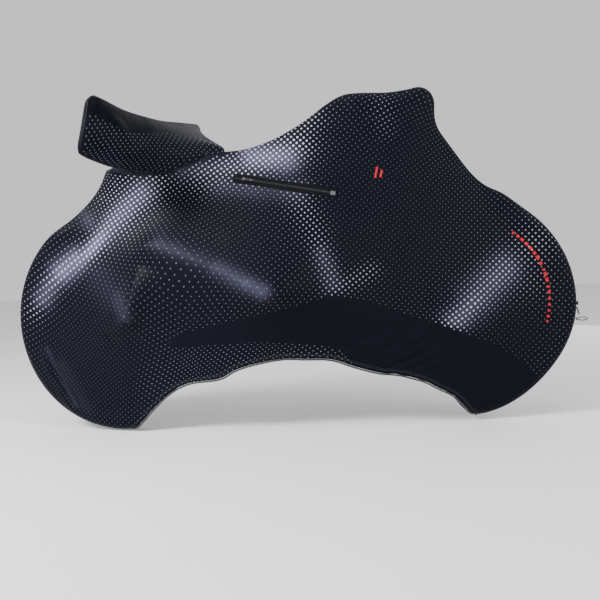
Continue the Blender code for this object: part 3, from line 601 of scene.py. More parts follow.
# folds in the side panels, seen from the near side: x and z of three points on the crest,
# how wide its front-left and back-right flanks are, its height, and the share of its
# length over which it fades in and out
nearFolds = (
    # tent of the axle lever, steep on the right, with creases under its tip
    (-0.470, 0.500, -0.494, 0.410, -0.519, 0.336, 0.050, 0.006, 0.0180, 0.35, 0.05),
    (-0.520, 0.330, -0.560, 0.316, -0.600, 0.322, 0.016, 0.007, 0.0065, 0.10, 0.60),
    (-0.590, 0.306, -0.572, 0.284, -0.545, 0.266, 0.006, 0.010, -0.0060, 0.20, 0.30),
    # long straight folds low on the front wheel
    (-0.820, 0.262, -0.772, 0.160, -0.700, 0.050, 0.005, 0.010, 0.0075, 0.20, 0.15),
    (-0.800, 0.262, -0.750, 0.160, -0.676, 0.046, 0.010, 0.012, -0.0065, 0.20, 0.20),
    (-0.780, 0.250, -0.738, 0.170, -0.690, 0.092, 0.006, 0.007, 0.0020, 0.30, 0.30),
    # broad ridge down to the pedals
    (-0.430, 0.590, -0.250, 0.498, -0.070, 0.402, 0.030, 0.024, 0.0070, 0.35, 0.10),
    # fan of folds behind the pedals, up from the mouth
    (0.215, 0.196, 0.330, 0.245, 0.436, 0.322, 0.007, 0.010, 0.0065, 0.12, 0.45),
    (0.228, 0.180, 0.345, 0.222, 0.468, 0.300, 0.007, 0.008, 0.0080, 0.10, 0.40),
    (0.246, 0.164, 0.352, 0.190, 0.480, 0.252, 0.006, 0.010, 0.0065, 0.12, 0.45),
    (0.262, 0.155, 0.366, 0.166, 0.470, 0.206, 0.006, 0.008, 0.0052, 0.15, 0.45),
    (0.284, 0.146, 0.380, 0.142, 0.486, 0.170, 0.006, 0.008, 0.0034, 0.15, 0.50),
    (0.185, 0.212, 0.262, 0.262, 0.345, 0.350, 0.012, 0.016, 0.0045, 0.20, 0.55),
    (0.176, 0.232, 0.186, 0.246, 0.192, 0.262, 0.016, 0.016, 0.0070, 0.45, 0.45),
    # soft drags from the neck and the bar's foot
    (-0.600, 0.745, -0.640, 0.690, -0.700, 0.640, 0.010, 0.016, 0.0040, 0.30, 0.40),
    (-0.560, 0.765, -0.590, 0.700, -0.640, 0.640, 0.012, 0.020, -0.0040, 0.30, 0.40),
    (-0.440, 0.760, -0.530, 0.660, -0.630, 0.560, 0.040, 0.045, 0.0090, 0.40, 0.35),
    # over the seat stays and the rear wheel's upper front
    (0.480, 0.300, 0.590, 0.400, 0.690, 0.500, 0.050, 0.040, 0.0090, 0.40, 0.40),
    (0.060, 0.780, 0.070, 0.640, 0.120, 0.520, 0.030, 0.030, 0.0050, 0.40, 0.50),
    (-0.310, 0.246, -0.296, 0.210, -0.280, 0.180, 0.014, 0.014, 0.0040, 0.40, 0.30),
)
farFolds = (
    (-0.540, 0.430, -0.556, 0.352, -0.600, 0.330, 0.030, 0.012, 0.0060, 0.30, 0.15),
    (0.215, 0.270, 0.130, 0.215, 0.070, 0.190, 0.010, 0.014, 0.0040, 0.10, 0.50),
    (0.225, 0.262, 0.290, 0.200, 0.330, 0.160, 0.010, 0.012, 0.0040, 0.10, 0.50),
    (0.205, 0.275, 0.190, 0.215, 0.180, 0.180, 0.010, 0.010, 0.0034, 0.10, 0.50),
    (0.200, 0.300, 0.060, 0.420, -0.120, 0.520, 0.040, 0.040, 0.0060, 0.20, 0.50),
    (-0.470, 0.740, -0.560, 0.650, -0.660, 0.560, 0.045, 0.050, 0.0070, 0.40, 0.35),
    (0.500, 0.300, 0.610, 0.400, 0.690, 0.500, 0.050, 0.045, 0.0060, 0.40, 0.40),
    (-0.800, 0.230, -0.742, 0.130, -0.676, 0.040, 0.008, 0.010, 0.0030, 0.25, 0.20),
)
# the same on the hood, by the way along the bar and height
backFolds = (
    (-0.300, 0.925, -0.235, 0.905, -0.175, 0.860, 0.008, 0.016, 0.0040, 0.30, 0.45),
    (-0.030, 0.800, 0.050, 0.850, 0.130, 0.905, 0.016, 0.008, -0.0060, 0.25, 0.20),
    (0.000, 0.800, 0.075, 0.835, 0.160, 0.880, 0.012, 0.014, 0.0040, 0.30, 0.30),
    (-0.200, 0.800, -0.130, 0.860, -0.060, 0.935, 0.020, 0.018, 0.0040, 0.40, 0.40),
    (-0.355, 0.850, -0.310, 0.880, -0.250, 0.900, 0.010, 0.010, 0.0020, 0.20, 0.50),
)
frontFolds = (
    (-0.250, 0.815, -0.150, 0.870, -0.040, 0.940, 0.020, 0.016, 0.0050, 0.30, 0.40),
    (0.240, 0.830, 0.150, 0.880, 0.050, 0.945, 0.018, 0.020, 0.0050, 0.30, 0.40),
    (-0.080, 0.800, -0.060, 0.860, -0.050, 0.940, 0.020, 0.020, 0.0040, 0.40, 0.40),
)
hem = dict(
    pitch=0.024, depth=0.034, height=0.0015, seed=5, narrow=0.28,
    shift=(0.2, 0.8), talls=(0.3, 1.0), depths=(0.6, 1.5),   # least and most of each pucker
    roll=0.012, rollHeight=0.0012, rollSoft=0.35, ends=0.02,
)


def addFolds(grid, seen, folds, normals):
    # soft troughs and ridges, each along a curve, moved out along the skin's own normals
    total = np.zeros(grid.shape[:2])
    for row in folds:
        line = smoothLine(np.array(row[:6]).reshape(3, 2), 10)
        left, right, height, fadeIn, fadeOut = row[6:]
        start, run = line[:-1], np.diff(line, axis=0)
        length = np.linalg.norm(run, axis=1)
        full = length.sum()
        begun = np.concatenate([[0.0], np.cumsum(length)[:-1]])
        fromStart = seen[..., None, :] - start
        t = np.clip(np.sum(fromStart * run, axis=-1) / length ** 2, 0, 1)
        away = fromStart - t[..., None] * run
        off = np.linalg.norm(away, axis=-1)
        pick = np.argmin(off, axis=-1)[..., None]
        off = np.take_along_axis(off, pick, -1)[..., 0]
        share = np.take_along_axis(begun + t * length, pick, -1)[..., 0] / full
        turn = run[..., 0] * fromStart[..., 1] - run[..., 1] * fromStart[..., 0]
        isLeft = np.take_along_axis(turn, pick, -1)[..., 0] > 0
        width = np.where(isLeft, left, right)
        fade = np.clip(share / fadeIn, 0, 1) * np.clip((1 - share) / fadeOut, 0, 1)
        fade = fade ** skin["foldFade"]
        total += height * fade * np.exp(-(off / width) ** 2)
    rise = np.linspace(0, 1, skin["foldRise"])
    total[:len(rise)] *= rise[:, None]
    total[-len(rise):] *= rise[::-1, None]
    total[:, -len(rise):] *= rise[::-1]
    return grid + total[..., None] * normals


def gatherHem(grid, normals):
    # the elastic draws the mouth's edge into small uneven puckers, square to it
    rng = np.random.default_rng(hem["seed"])
    along = runLength(grid[:, 0])
    count = int(along[-1] / hem["pitch"])
    marks = np.sort((np.arange(count) + rng.uniform(*hem["shift"], count)) * hem["pitch"])
    tall = rng.uniform(*hem["talls"], count)
    deep = rng.uniform(*hem["depths"], count) * hem["depth"]
    up = np.linalg.norm(np.diff(grid, axis=1), axis=2)
    down = np.concatenate([np.zeros((len(up), 1)), np.cumsum(up, axis=1)], axis=1)
    total = np.zeros(grid.shape[:2])
    for mark, height, depth in zip(marks, tall, deep):
        near = np.exp(-((along - mark) / (hem["narrow"] * hem["pitch"])) ** 2)
        total += height * near[:, None] * np.exp(-(down / depth) ** 1.5)
    ends = np.clip(np.minimum(along, along[-1] - along) / hem["ends"], 0, 1)[:, None]
    roll = (down - 0.5 * hem["roll"]) / (hem["rollSoft"] * hem["roll"])
    roll = hem["rollHeight"] * np.exp(-roll ** 2)
    return grid + ((total * hem["height"] + roll) * ends)[..., None] * normals, down


def innerFace(grid, outSign, left, top, right, bottom=None):
    move = -skinNormals(grid, outSign)
    if bottom is not None:
        move[:, 0] = bottom
    move[0], move[-1] = left, right
    move[:, -1] = top
    return grid + cut["cloth"] * move


def gridMesh(name, outer, inner, outSign, printPlace, values):
    # a closed sheet between two grids: outer face in the first material, the rest in the
    # second; the print's place is the mesh's own UV map, the values its attributes
    columns, rows = outer.shape[:2]
    size = columns * rows
    index = np.arange(size).reshape(columns, rows)
    quads = quadsOf(columns, rows)
    rim = np.concatenate([index[:, 0], index[-1, 1:], index[-2::-1, -1], index[0, -2:0:-1]])
    after = np.roll(rim, -1)
    walls = np.stack([after, rim, size + rim, size + after], -1)
    faces = np.vstack([quads, size + quads[:, ::-1], walls])
    if outSign < 0:
        faces = faces[:, ::-1]
    verts = np.vstack([outer.reshape(-1, 3), inner.reshape(-1, 3)]) - origin
    mesh = bpy.data.meshes.new(name)
    mesh.from_pydata(verts.tolist(), [], faces.tolist())
    place = np.tile(printPlace.reshape(-1, 2), (2, 1))
    layer = mesh.uv_layers.new(name="print")
    layer.uv.foreach_set("vector", place[faces.reshape(-1)].reshape(-1))
    for word, field in values.items():
        spot = mesh.attributes.new(word, "FLOAT", "POINT")
        spot.data.foreach_set("value", np.tile(field.reshape(-1), 2))
    kind = np.zeros(len(faces), int)
    kind[len(quads):] = 1
    mesh.polygons.foreach_set("material_index", kind)
    mesh.shade_smooth()
    return placed(name, mesh)


def awayFromSeams(grid, sides):
    # distance along the cloth from the nearest of the given edges
    wide = np.linalg.norm(np.diff(grid, axis=0), axis=2)
    tall = np.linalg.norm(np.diff(grid, axis=1), axis=2)
    zeroWide, zeroTall = np.zeros((1, grid.shape[1])), np.zeros((grid.shape[0], 1))
    runs = dict(
        left=np.concatenate([zeroWide, np.cumsum(wide, axis=0)]),
        right=np.concatenate([np.cumsum(wide[::-1], axis=0)[::-1], zeroWide]),
        bottom=np.concatenate([zeroTall, np.cumsum(tall, axis=1)], axis=1),
        top=np.concatenate([np.cumsum(tall[:, ::-1], axis=1)[:, ::-1], zeroTall], axis=1))
    return np.minimum.reduce([runs[side] for side in sides])


# shaders: a wire is a socket or a number, and sums of wires become Math nodes
class Wire:
    def __init__(self, shop, socket):
        self.shop, self.socket = shop, socket

    def __add__(self, other):
        return self.shop.maths("ADD", self, other)

    __radd__ = __add__

    def __sub__(self, other):
        return self.shop.maths("SUBTRACT", self, other)

    def __rsub__(self, other):
        return self.shop.maths("SUBTRACT", other, self)

    def __mul__(self, other):
        return self.shop.maths("MULTIPLY", self, other)

    __rmul__ = __mul__

    def __truediv__(self, other):
        return self.shop.maths("DIVIDE", self, other)

    def __gt__(self, other):
        return self.shop.maths("GREATER_THAN", self, other)

    def __lt__(self, other):
        return self.shop.maths("LESS_THAN", self, other)


class Bench:
    # what material trees and geometry trees share
    def fill(self, socket, value):
        if isinstance(value, Wire):
            self.tree.links.new(value.socket, socket)
        else:
            socket.default_value = value

    def node(self, kind, settings=None, inputs=None, output=0):
        made = self.tree.nodes.new(kind)
        for key, value in (settings or {}).items():
            setattr(made, key, value)
        for key, value in (inputs or {}).items():
            self.fill(made.inputs[key], value)
        return Wire(self, made.outputs[output])

    def maths(self, operation, *values):
        return self.node("ShaderNodeMath", {"operation": operation}, dict(enumerate(values)))


class Shop(Bench):
    # one material under work
    def __init__(self, name):
        self.material = bpy.data.materials.new(name)
        self.material.use_nodes = True
        self.tree = self.material.node_tree
        self.shader = self.tree.nodes["Principled BSDF"]

    def clamped(self, value):
        return self.node("ShaderNodeClamp", None, {"Value": value})

    def ramp(self, value, low, high):
        return self.node("ShaderNodeMapRange", {"interpolation_type": "SMOOTHSTEP"},
                         {"Value": value, "From Min": low, "From Max": high})

    def mix(self, share, first, second):
        return self.node("ShaderNodeMix", {"data_type": "RGBA"},
                         {0: share, 6: first, 7: second}, 2)

    def attribute(self, name):
        return self.node("ShaderNodeAttribute", {"attribute_name": name}, None, "Fac")

    def solid(self):
        return self.node("ShaderNodeTexCoord", None, None, "Object")

    def uv(self):
        parts = self.tree.nodes.new("ShaderNodeSeparateXYZ")
        self.fill(parts.inputs[0], self.node("ShaderNodeUVMap", {"uv_map": "print"}))
        return Wire(self, parts.outputs[0]), Wire(self, parts.outputs[1])

    def noise(self, vector, scale, detail=2.0, roughness=0.5):
        return self.node("ShaderNodeTexNoise", None,
                         {"Vector": vector, "Scale": scale, "Detail": detail,
                          "Roughness": roughness}, "Fac")

    def bump(self, height, distance, strength=1.0, **under):
        return self.node("ShaderNodeBump", None, {"Height": height, "Distance": distance,
                                                  "Strength": strength, **under})

    def finish(self, **sockets):
        for key, value in sockets.items():
            self.fill(self.shader.inputs[key.replace("_", " ")], value)
        return self.material


# the printed cloth, with painted sheen: dots in staggered rows that grow and brighten along soft
# bands
dots = dict(
    across=0.0200, up=0.0098, tilt=-9.0,      # pitch along a row, between rows, and their slope
    small=0.0015, large=0.0042, soft=0.0005,  # radii
    dim=(0.050, 0.050, 0.064, 1.0), bright=(0.46, 0.43, 0.52, 1.0),
    # the lightened ground's colour stands for the print's lighter tone and for painted sheen
    ground=(0.0022, 0.0026, 0.0060, 1.0), printAndSheenGlow=(0.098, 0.094, 0.155, 1.0),
    margin=0.010,                             # bare beside a seam
    squeeze=0.040, squeezeDepth=0.110,        # rows draw together towards the mouth
    plainLight=0.18, leastLight=0.02,         # away from the bands, and in the shade
    shadeLight=0.4, shadeSize=0.5,            # how much the shade takes
    marginSoft=0.003, plainSoft=0.002, glowSoft=0.022,
)
# x, z of a band's two ends, its half width, how large and how bright its dots are
sideBands = (
    (-0.830, 0.370, -0.770, 0.460, 0.040, 0.40, 0.55),
    (-0.770, 0.460, -0.702, 0.511, 0.042, 0.55, 0.80),
    (-0.702, 0.511, -0.637, 0.549, 0.040, 0.60, 0.85),
    (-0.637, 0.549, -0.540, 0.643, 0.044, 0.75, 0.95),
    (-0.540, 0.643, -0.430, 0.755, 0.066, 0.72, 0.88),
    (-0.560, 0.710, -0.500, 0.765, 0.055, 0.42, 0.62),
    (-0.425, 0.740, -0.277, 0.772, 0.055, 0.32, 0.38),
    (-0.277, 0.772, -0.126, 0.810, 0.065, 0.70, 0.65),
    (-0.126, 0.810, 0.013, 0.859, 0.070, 0.85, 0.75),
    (0.013, 0.859, 0.064, 0.948, 0.050, 0.60, 0.50),
    (0.009, 0.710, 0.065, 0.579, 0.050, 0.40, 0.50),
    (0.065, 0.579, 0.114, 0.419, 0.040, 0.45, 0.55),
    (0.114, 0.416, 0.229, 0.469, 0.032, 0.50, 0.50),
    (0.464, 0.294, 0.550, 0.370, 0.046, 0.66, 0.66),
    (0.550, 0.370, 0.649, 0.463, 0.065, 0.55, 0.55),
    (0.649, 0.463, 0.750, 0.544, 0.070, 0.40, 0.38),
    (0.640, 0.400, 0.720, 0.420, 0.060, 0.30, 0.22),
    (0.281, 0.985, 0.292, 0.900, 0.040, 0.15, 0.35),
    (-0.446, 0.150, -0.294, 0.215, 0.050, 0.05, 0.10),
    (-0.294, 0.215, 0.097, 0.240, 0.030, 0.05, 0.12),
)
# where the ground between the dots is lightened too, by print and painted sheen: x, z, x, z, half
# width, how much
printAndSheenGlows = (
    (-0.800, 0.410, -0.745, 0.480, 0.030, 0.35), (-0.735, 0.490, -0.680, 0.525, 0.034, 0.80),
    (-0.650, 0.540, -0.590, 0.595, 0.022, 0.80), (-0.590, 0.595, -0.455, 0.730, 0.034, 0.46),
    (-0.120, 0.830, -0.020, 0.815, 0.040, 0.60), (-0.230, 0.740, 0.010, 0.715, 0.032, 0.15),
    (-0.330, 0.790, -0.170, 0.800, 0.030, 0.18), (0.080, 0.520, 0.110, 0.430, 0.026, 0.12),
    (0.480, 0.305, 0.540, 0.362, 0.036, 0.30), (0.540, 0.362, 0.640, 0.455, 0.048, 0.24),
)
nearPaintedHighlights = (                         # and these on the near side alone, beside its folds: painted highlights along their crests
    (-0.400, 0.570, -0.230, 0.490, 0.030, 0.11), (-0.230, 0.490, -0.100, 0.420, 0.025, 0.24),
    (-0.140, 0.442, -0.095, 0.418, 0.022, 0.36),
    (-0.640, 0.520, -0.560, 0.420, 0.050, 0.06), (-0.545, 0.410, -0.512, 0.352, 0.024, 0.13),
    (-0.650, 0.660, -0.625, 0.625, 0.022, 0.16), (-0.795, 0.250, -0.700, 0.075, 0.008, 0.10),
    (-0.745, 0.200, -0.660, 0.060, 0.020, 0.04),
)
# where the print is drawn out or gathered: x, z, radius, how much it is drawn out
sideWarps = (
    (-0.330, 0.480, 0.130, 0.40), (-0.660, 0.170, 0.230, -0.45), (-0.100, 0.250, 0.120, -0.25),
    (-0.300, 0.200, 0.130, -0.35),
)
# soft areas where the dots are smaller and fainter: x, z, radius, how much
sideShade = (
    (0.250, 0.620, 0.230, 0.65), (0.330, 0.860, 0.120, 0.55), (-0.640, 0.220, 0.170, 0.95),
    (-0.330, 0.420, 0.160, 0.30), (0.650, 0.250, 0.120, 0.50), (-0.150, 0.560, 0.120, 0.35),
)
# the plain area's upper and lower edges, seen from the side: x, z
plainTop = ((-0.388, 0.263), (-0.336, 0.297), (-0.261, 0.313), (-0.170, 0.337),
            (-0.080, 0.358), (0.011, 0.377), (0.071, 0.393), (0.117, 0.401), (0.167, 0.390),
            (0.250, 0.367), (0.324, 0.334), (0.428, 0.298), (0.517, 0.257), (0.606, 0.218),
            (0.679, 0.168), (0.738, 0.112), (0.760, 0.060))
plainLow = ((-0.388, 0.262), (-0.353, 0.251), (-0.248, 0.262), (-0.172, 0.268),
            (-0.106, 0.268), (0.008, 0.259), (0.080, 0.250), (0.142, 0.232), (0.200, 0.120),
            (0.760, -0.10))


def bandField(seen, bands, column):
    total = np.zeros(seen.shape[:2])
    for row in bands:
        start, run = np.array(row[:2]), np.array(row[2:4]) - np.array(row[:2])
        t = np.clip((seen - start) @ run / (run @ run), 0, 1)
        off = np.linalg.norm(seen - start - t[..., None] * run, axis=-1)
        total = np.maximum(total, row[column] * np.exp(-(off / row[4]) ** 2))
    return total


def drawnPrint(flatPlace, warps):
    place = flatPlace.copy()
    for x, z, radius, amount in warps:
        off = flatPlace - np.array((x, z))
        place -= amount * off * np.exp(-(np.linalg.norm(off, axis=-1) / radius) ** 2)[..., None]
    return place


def sidePrintAndSheen(side, flatPlace, seen, down, away):
    shade = np.zeros(seen.shape[:2])
    for x, z, radius, amount in sideShade:
        off = np.linalg.norm(seen - np.array((x, z)), axis=-1)
        shade = np.maximum(shade, amount * np.exp(-(off / radius) ** 2))
    x, z = flatPlace[..., 0], flatPlace[..., 1]
    under = np.interp(x, *np.array(plainTop).T) - z
    over = z - np.interp(x, *np.array(plainLow).T)
    plain = np.where((x > plainTop[0][0]) & (x < plainTop[-1][0]), np.minimum(under, over), -0.1)
    place = drawnPrint(flatPlace, sideWarps)
    place[..., 1] -= dots["squeeze"] * np.exp(-down / dots["squeezeDepth"])
    light = dots["plainLight"] + bandField(seen, sideBands, 6) - dots["shadeLight"] * shade
    size = bandField(seen, sideBands, 5) * (1 - dots["shadeSize"] * shade)
    # the ground lightened by print and painted sheen, plus the near side's painted fold highlights
    printAndSheenGlow = bandField(seen, printAndSheenGlows + (nearPaintedHighlights if side < 0 else ()), 5)
    return place, dict(dotSize=size, dotLight=np.clip(light, dots["leastLight"], 1.0),
                       printAndSheenGlow=printAndSheenGlow, plain=plain, seamGap=away)


cloth = dict(
    roughness=0.45, ior=1.145, sheen=0.01, sheenRoughness=0.38, sheenTint=(0.66, 0.64, 0.85, 1.0),
    knit=0.0011, knitDepth=0.00004, knitStrength=0.6, swell=16.0, swellDepth=0.0016,
    crumple=75.0, crumpleDepth=0.0003, softStrength=0.8, crumpleRough=0.12, inkRough=0.03,
    glowLeast=0.7, glowSwell=0.6, red=(0.42, 0.014, 0.020, 1.0),
    insideDark=(0.022, 0.022, 0.027, 1.0), insideLight=(0.036, 0.036, 0.043, 1.0),
    insideRoughness=0.8, insideSheen=0.3, insideSheenRoughness=0.5,
)
marks = dict(
    hub=(0.521, 0.356), radius=0.263, half=0.0045, start=-18.5, end=50.0, pitch=0.018,
    dash=(0.30, 0.45),                        # least share of the pitch, and up to so much more
    bars=((0.263, 0.783, 0.0034, 0.018), (0.279, 0.779, 0.0034, 0.012)), lean=-0.22,
)


def knitBump(shop, u, v):
    # fine ribs of the knit, then the soft unevenness of stretched cloth
    turn = 2 * math.pi / cloth["knit"]
    rib = shop.maths("SINE", u * turn) + shop.maths("SINE", (u * 0.5 + v) * turn)
    fine = shop.bump(rib, cloth["knitDepth"], cloth["knitStrength"])
    place = shop.solid()
    crumple = shop.noise(place, cloth["crumple"], 3.0, 0.55)
    swell = shop.noise(place, cloth["swell"], 2.0, 0.5)
    soft = cloth["softStrength"]
    second = shop.bump(crumple, cloth["crumpleDepth"], soft, Normal=fine)
    return shop.bump(swell, cloth["swellDepth"], soft, Normal=second), crumple, swell


def dotMask(shop, u, v):
    tilt = math.radians(dots["tilt"])
    x = u * math.cos(tilt) + v * math.sin(tilt)
    y = v * math.cos(tilt) - u * math.sin(tilt)
    row = y / dots["up"]
    shift = shop.maths("FRACT", shop.maths("FLOOR", row) * 0.5)
    offX = (shop.maths("FRACT", x / dots["across"] + shift) - 0.5) * dots["across"]
    offY = (shop.maths("FRACT", row) - 0.5) * dots["up"]
    off = shop.maths("SQRT", offX * offX + offY * offY)
    radius = shop.attribute("dotSize") * (dots["large"] - dots["small"]) + dots["small"]
    return shop.ramp(radius - off, -dots["soft"], dots["soft"])


def redMask(shop, u, v):
    # a broken arc along the rear wheel and two short slanted bars under the saddle
    x, y = u - marks["hub"][0], v - marks["hub"][1]
    radius = shop.maths("SQRT", x * x + y * y)
    angle = shop.maths("ARCTAN2", y, x)
    inArc = (shop.maths("ABSOLUTE", radius - marks["radius"]) < marks["half"])
    inArc = inArc * (angle > math.radians(marks["start"])) * (angle < math.radians(marks["end"]))
    place = angle * (marks["radius"] / marks["pitch"])
    cell = shop.maths("FLOOR", place)
    length = shop.node("ShaderNodeTexWhiteNoise", {"noise_dimensions": "1D"}, {"W": cell},
                       "Value") * marks["dash"][1] + marks["dash"][0]
    total = inArc * (shop.maths("FRACT", place) < length)
    for barX, barY, half, tall in marks["bars"]:
        offY = v - barY
        offX = shop.maths("ABSOLUTE", u - barX + offY * marks["lean"])
        total = shop.maths("MAXIMUM", total, (offX < half)
                           * (shop.maths("ABSOLUTE", offY) < tall))
    return total


def printedClothAndSheen(name, withRed=False):
    shop = Shop(name)
    u, v = shop.uv()
    bump, crumple, swell = knitBump(shop, u, v)
    mask = dotMask(shop, u, v)
    plain, soft = shop.attribute("plain"), dots["plainSoft"]
    mask = mask * shop.ramp(plain, soft, -soft)
    mask = mask * shop.ramp(shop.attribute("seamGap"), dots["margin"],
                            dots["margin"] + dots["marginSoft"])
    # the lightened ground, partly printed tone and partly painted sheen, mottled by the swell
    printAndSheenGlow = shop.attribute("printAndSheenGlow") * (swell * cloth["glowSwell"] + cloth["glowLeast"])
    printAndSheenGlow = printAndSheenGlow * shop.ramp(plain, soft, -dots["glowSoft"])
    ground = shop.mix(shop.clamped(printAndSheenGlow), dots["ground"], dots["printAndSheenGlow"])
    light = shop.clamped(shop.attribute("dotLight"))
    dot = shop.mix(light, dots["dim"], dots["bright"])
    colour = shop.mix(mask, ground, dot)
    if withRed:
        colour = shop.mix(redMask(shop, u, v), colour, cloth["red"])
    roughness = cloth["roughness"] + (crumple - 0.5) * cloth["crumpleRough"]
    return shop.finish(Base_Color=colour, Normal=bump,
                       Roughness=roughness - mask * cloth["inkRough"],
                       Sheen_Weight=cloth["sheen"], Sheen_Roughness=cloth["sheenRoughness"],
                       Sheen_Tint=cloth["sheenTint"], IOR=cloth["ior"])


def insideCloth():
    shop = Shop("clothInside")
    bump, crumple = knitBump(shop, *shop.uv())[:2]
    shade = shop.mix(crumple, cloth["insideDark"], cloth["insideLight"])
    return shop.finish(Base_Color=shade, Normal=bump, Roughness=cloth["insideRoughness"],
                       Sheen_Weight=cloth["insideSheen"],
                       Sheen_Roughness=cloth["insideSheenRoughness"])


insideMaterial = insideCloth()
sideMaterial = dict(near=printedClothAndSheen("nearCloth", True), far=printedClothAndSheen("farCloth"))
hoodMaterial = printedClothAndSheen("hoodCloth")


def buildPanel(name, side, folds, material, node):
    grid, flatPlace, (left, top, right) = sideSkin(side)
    normals = skinNormals(grid, -side)
    seen = grid[..., ::2].copy()
    grid = addFolds(grid, seen, folds, normals)
    grid, down = gatherHem(grid, skinNormals(grid, -side))
    away = awayFromSeams(grid, ("left", "right", "top"))
    place, values = sidePrintAndSheen(side, flatPlace, seen, down, away)
    inner = innerFace(grid, -side, left, top, right)
    piece = gridMesh(name, grid, inner, -side, place, values)
    ridesOnRoot(piece, [node], (material, insideMaterial))
    print("panel", name, "flat size", np.ptp(flatPlace.reshape(-1, 2), axis=0).round(3))
    return piece, grid, inner


nearPiece, nearGrid, nearInner = buildPanel("nearPanelCloth", -1.0, nearFolds,
                                            sideMaterial["near"], "near_panel")
farPiece, farGrid, farInner = buildPanel("farPanelCloth", 1.0, farFolds,
                                         sideMaterial["far"], "far_panel")


# the hood's print: bare along its top, faint in the middle, drawn together at the far end
hoodPrint = dict(
    dotSize=0.25, printAndSheenGlow=0.12,
    back=dict(bare=((-0.40, 0.915), (-0.36, 0.912), (-0.20, 0.885), (-0.02, 0.906),
                    (0.13, 0.895), (0.17, 0.930), (0.20, 1.010), (0.38, 1.020)),
              light=((-0.36, 0.18), (-0.25, 0.22), (-0.10, 0.10), (0.02, 0.08), (0.12, 0.26),
                     (0.38, 0.30)), squeeze=0.60, squeezeFrom=0.03),
    front=dict(bare=((-0.40, 0.900), (0.38, 0.930)),
               light=((-0.36, 0.25), (0.0, 0.20), (0.38, 0.25)), squeeze=0.0, squeezeFrom=0.4),
)


def buildHood(name, face, folds, words, node):
    grid, flatPlace, (near, ridge, far, rim) = hoodSkin(face)
    normals = skinNormals(grid, -face)
    grid = addFolds(grid, np.stack([(grid - barBase) @ barWay, grid[..., 2]], -1), folds, normals)
    away = awayFromSeams(grid, ("left", "right", "bottom"))
    inner = innerFace(grid, -face, near, ridge, far, rim)
    along, height = (grid - barBase) @ barWay, grid[..., 2]
    bare = height - np.interp(along, *np.array(words["bare"]).T)
    light = np.interp(along, *np.array(words["light"]).T)
    place = flatPlace.copy()
    drawn = np.maximum(flatPlace[..., 0] - words["squeezeFrom"], 0)
    place[..., 0] += words["squeeze"] * drawn
    values = dict(dotSize=np.full_like(along, hoodPrint["dotSize"]), dotLight=light,
                  printAndSheenGlow=hoodPrint["printAndSheenGlow"] * light, plain=bare, seamGap=away)
    piece = gridMesh(name, grid, inner, -face, place, values)
    ridesOnRoot(piece, [node], (hoodMaterial, insideMaterial))
    print("hood", name, "flat size", np.ptp(flatPlace.reshape(-1, 2), axis=0).round(3))
    return piece, grid


backPiece, backGrid = buildHood("hoodBackCloth", -1, backFolds, hoodPrint["back"],
                                "hood_back")
frontPiece, frontGrid = buildHood("hoodFrontCloth", 1, frontFolds, hoodPrint["front"],
                                  "hood_front")


class Growth(Bench):
    # a Geometry Nodes tree with named inputs, run on the edges of a mesh
    def __init__(self, name, sizes):
        self.tree = bpy.data.node_groups.new(name, "GeometryNodeTree")
        face = self.tree.interface
        face.new_socket("Geometry", in_out="INPUT", socket_type="NodeSocketGeometry")
        self.inlets = {}
        for word, kind in (*sizes.items(), ("Seed", "Int"), ("Material", "Material")):
            made = face.new_socket(word, in_out="INPUT", socket_type="NodeSocket" + kind)
            self.inlets[word] = made.identifier
        face.new_socket("Geometry", in_out="OUTPUT", socket_type="NodeSocketGeometry")
        self.start = self.tree.nodes.new("NodeGroupInput")
        self.end = self.tree.nodes.new("NodeGroupOutput")
        curve = self.node("GeometryNodeMeshToCurve", None, {"Mesh": self.inlet("Geometry")})
        self.line = self.node("GeometryNodeResampleCurve", {"mode": "LENGTH"},
                              {"Curve": curve, "Length": self.inlet("Pitch")})

    def inlet(self, word):
        return Wire(self, self.start.outputs[word])

    def close(self, geometry):
        solid = self.node("GeometryNodeRealizeInstances", None, {"Geometry": geometry})
        self.fill(self.end.inputs[0], self.node(
            "GeometryNodeSetMaterial", None,
            {"Geometry": solid, "Material": self.inlet("Material")}))
        return self

    def grow(self, name, mesh, **values):
        piece = placed(name, mesh)
        modifier = piece.modifiers.new("grow", "NODES")
        modifier.node_group = self.tree
        for word, value in values.items():
            modifier[self.inlets[word]] = value
        found = piece.evaluated_get(bpy.context.evaluated_depsgraph_get())
        plain = bpy.data.meshes.new_from_object(found)
        piece.modifiers.clear()
        piece.data = plain
        return piece


def rowTree(segments, rings):
    # small rounded bodies in a row, each turned along the line and away from the cloth
    tree = Growth("row", dict(Pitch="Float", Size="Vector", Slant="Float", Jitter="Float"))
    lift = tree.node("GeometryNodeInputNamedAttribute", {"data_type": "FLOAT_VECTOR"},
                     {"Name": "lift"})
    along = tree.node("FunctionNodeAlignRotationToVector", {"axis": "X"},
                      {"Vector": tree.node("GeometryNodeInputTangent")})
    upright = tree.node("FunctionNodeAlignRotationToVector", {"axis": "Z", "pivot_axis": "X"},
                        {"Rotation": along, "Vector": lift})
    chance = tree.node("FunctionNodeRandomValue", {"data_type": "FLOAT"},
                       {2: -1.0, 3: 1.0, "Seed": tree.inlet("Seed")}, 1)
    lean = tree.node("ShaderNodeCombineXYZ", None,
                     {"Z": tree.inlet("Slant") + chance * tree.inlet("Jitter")})
    leaning = tree.node("FunctionNodeRotateRotation", {"rotation_space": "LOCAL"},
                        {"Rotation": upright,
                         "Rotate By": tree.node("FunctionNodeEulerToRotation", None,
                                                {"Euler": lean})})
    body = tree.node("GeometryNodeMeshUVSphere", None, {"Segments": segments, "Rings": rings})
    smooth = tree.node("GeometryNodeSetShadeSmooth", None, {"Geometry": body})
    rows = tree.node("GeometryNodeInstanceOnPoints", None,
                     {"Points": tree.line, "Instance": smooth, "Rotation": leaning,
                      "Scale": tree.inlet("Size")})
    return tree.close(rows)


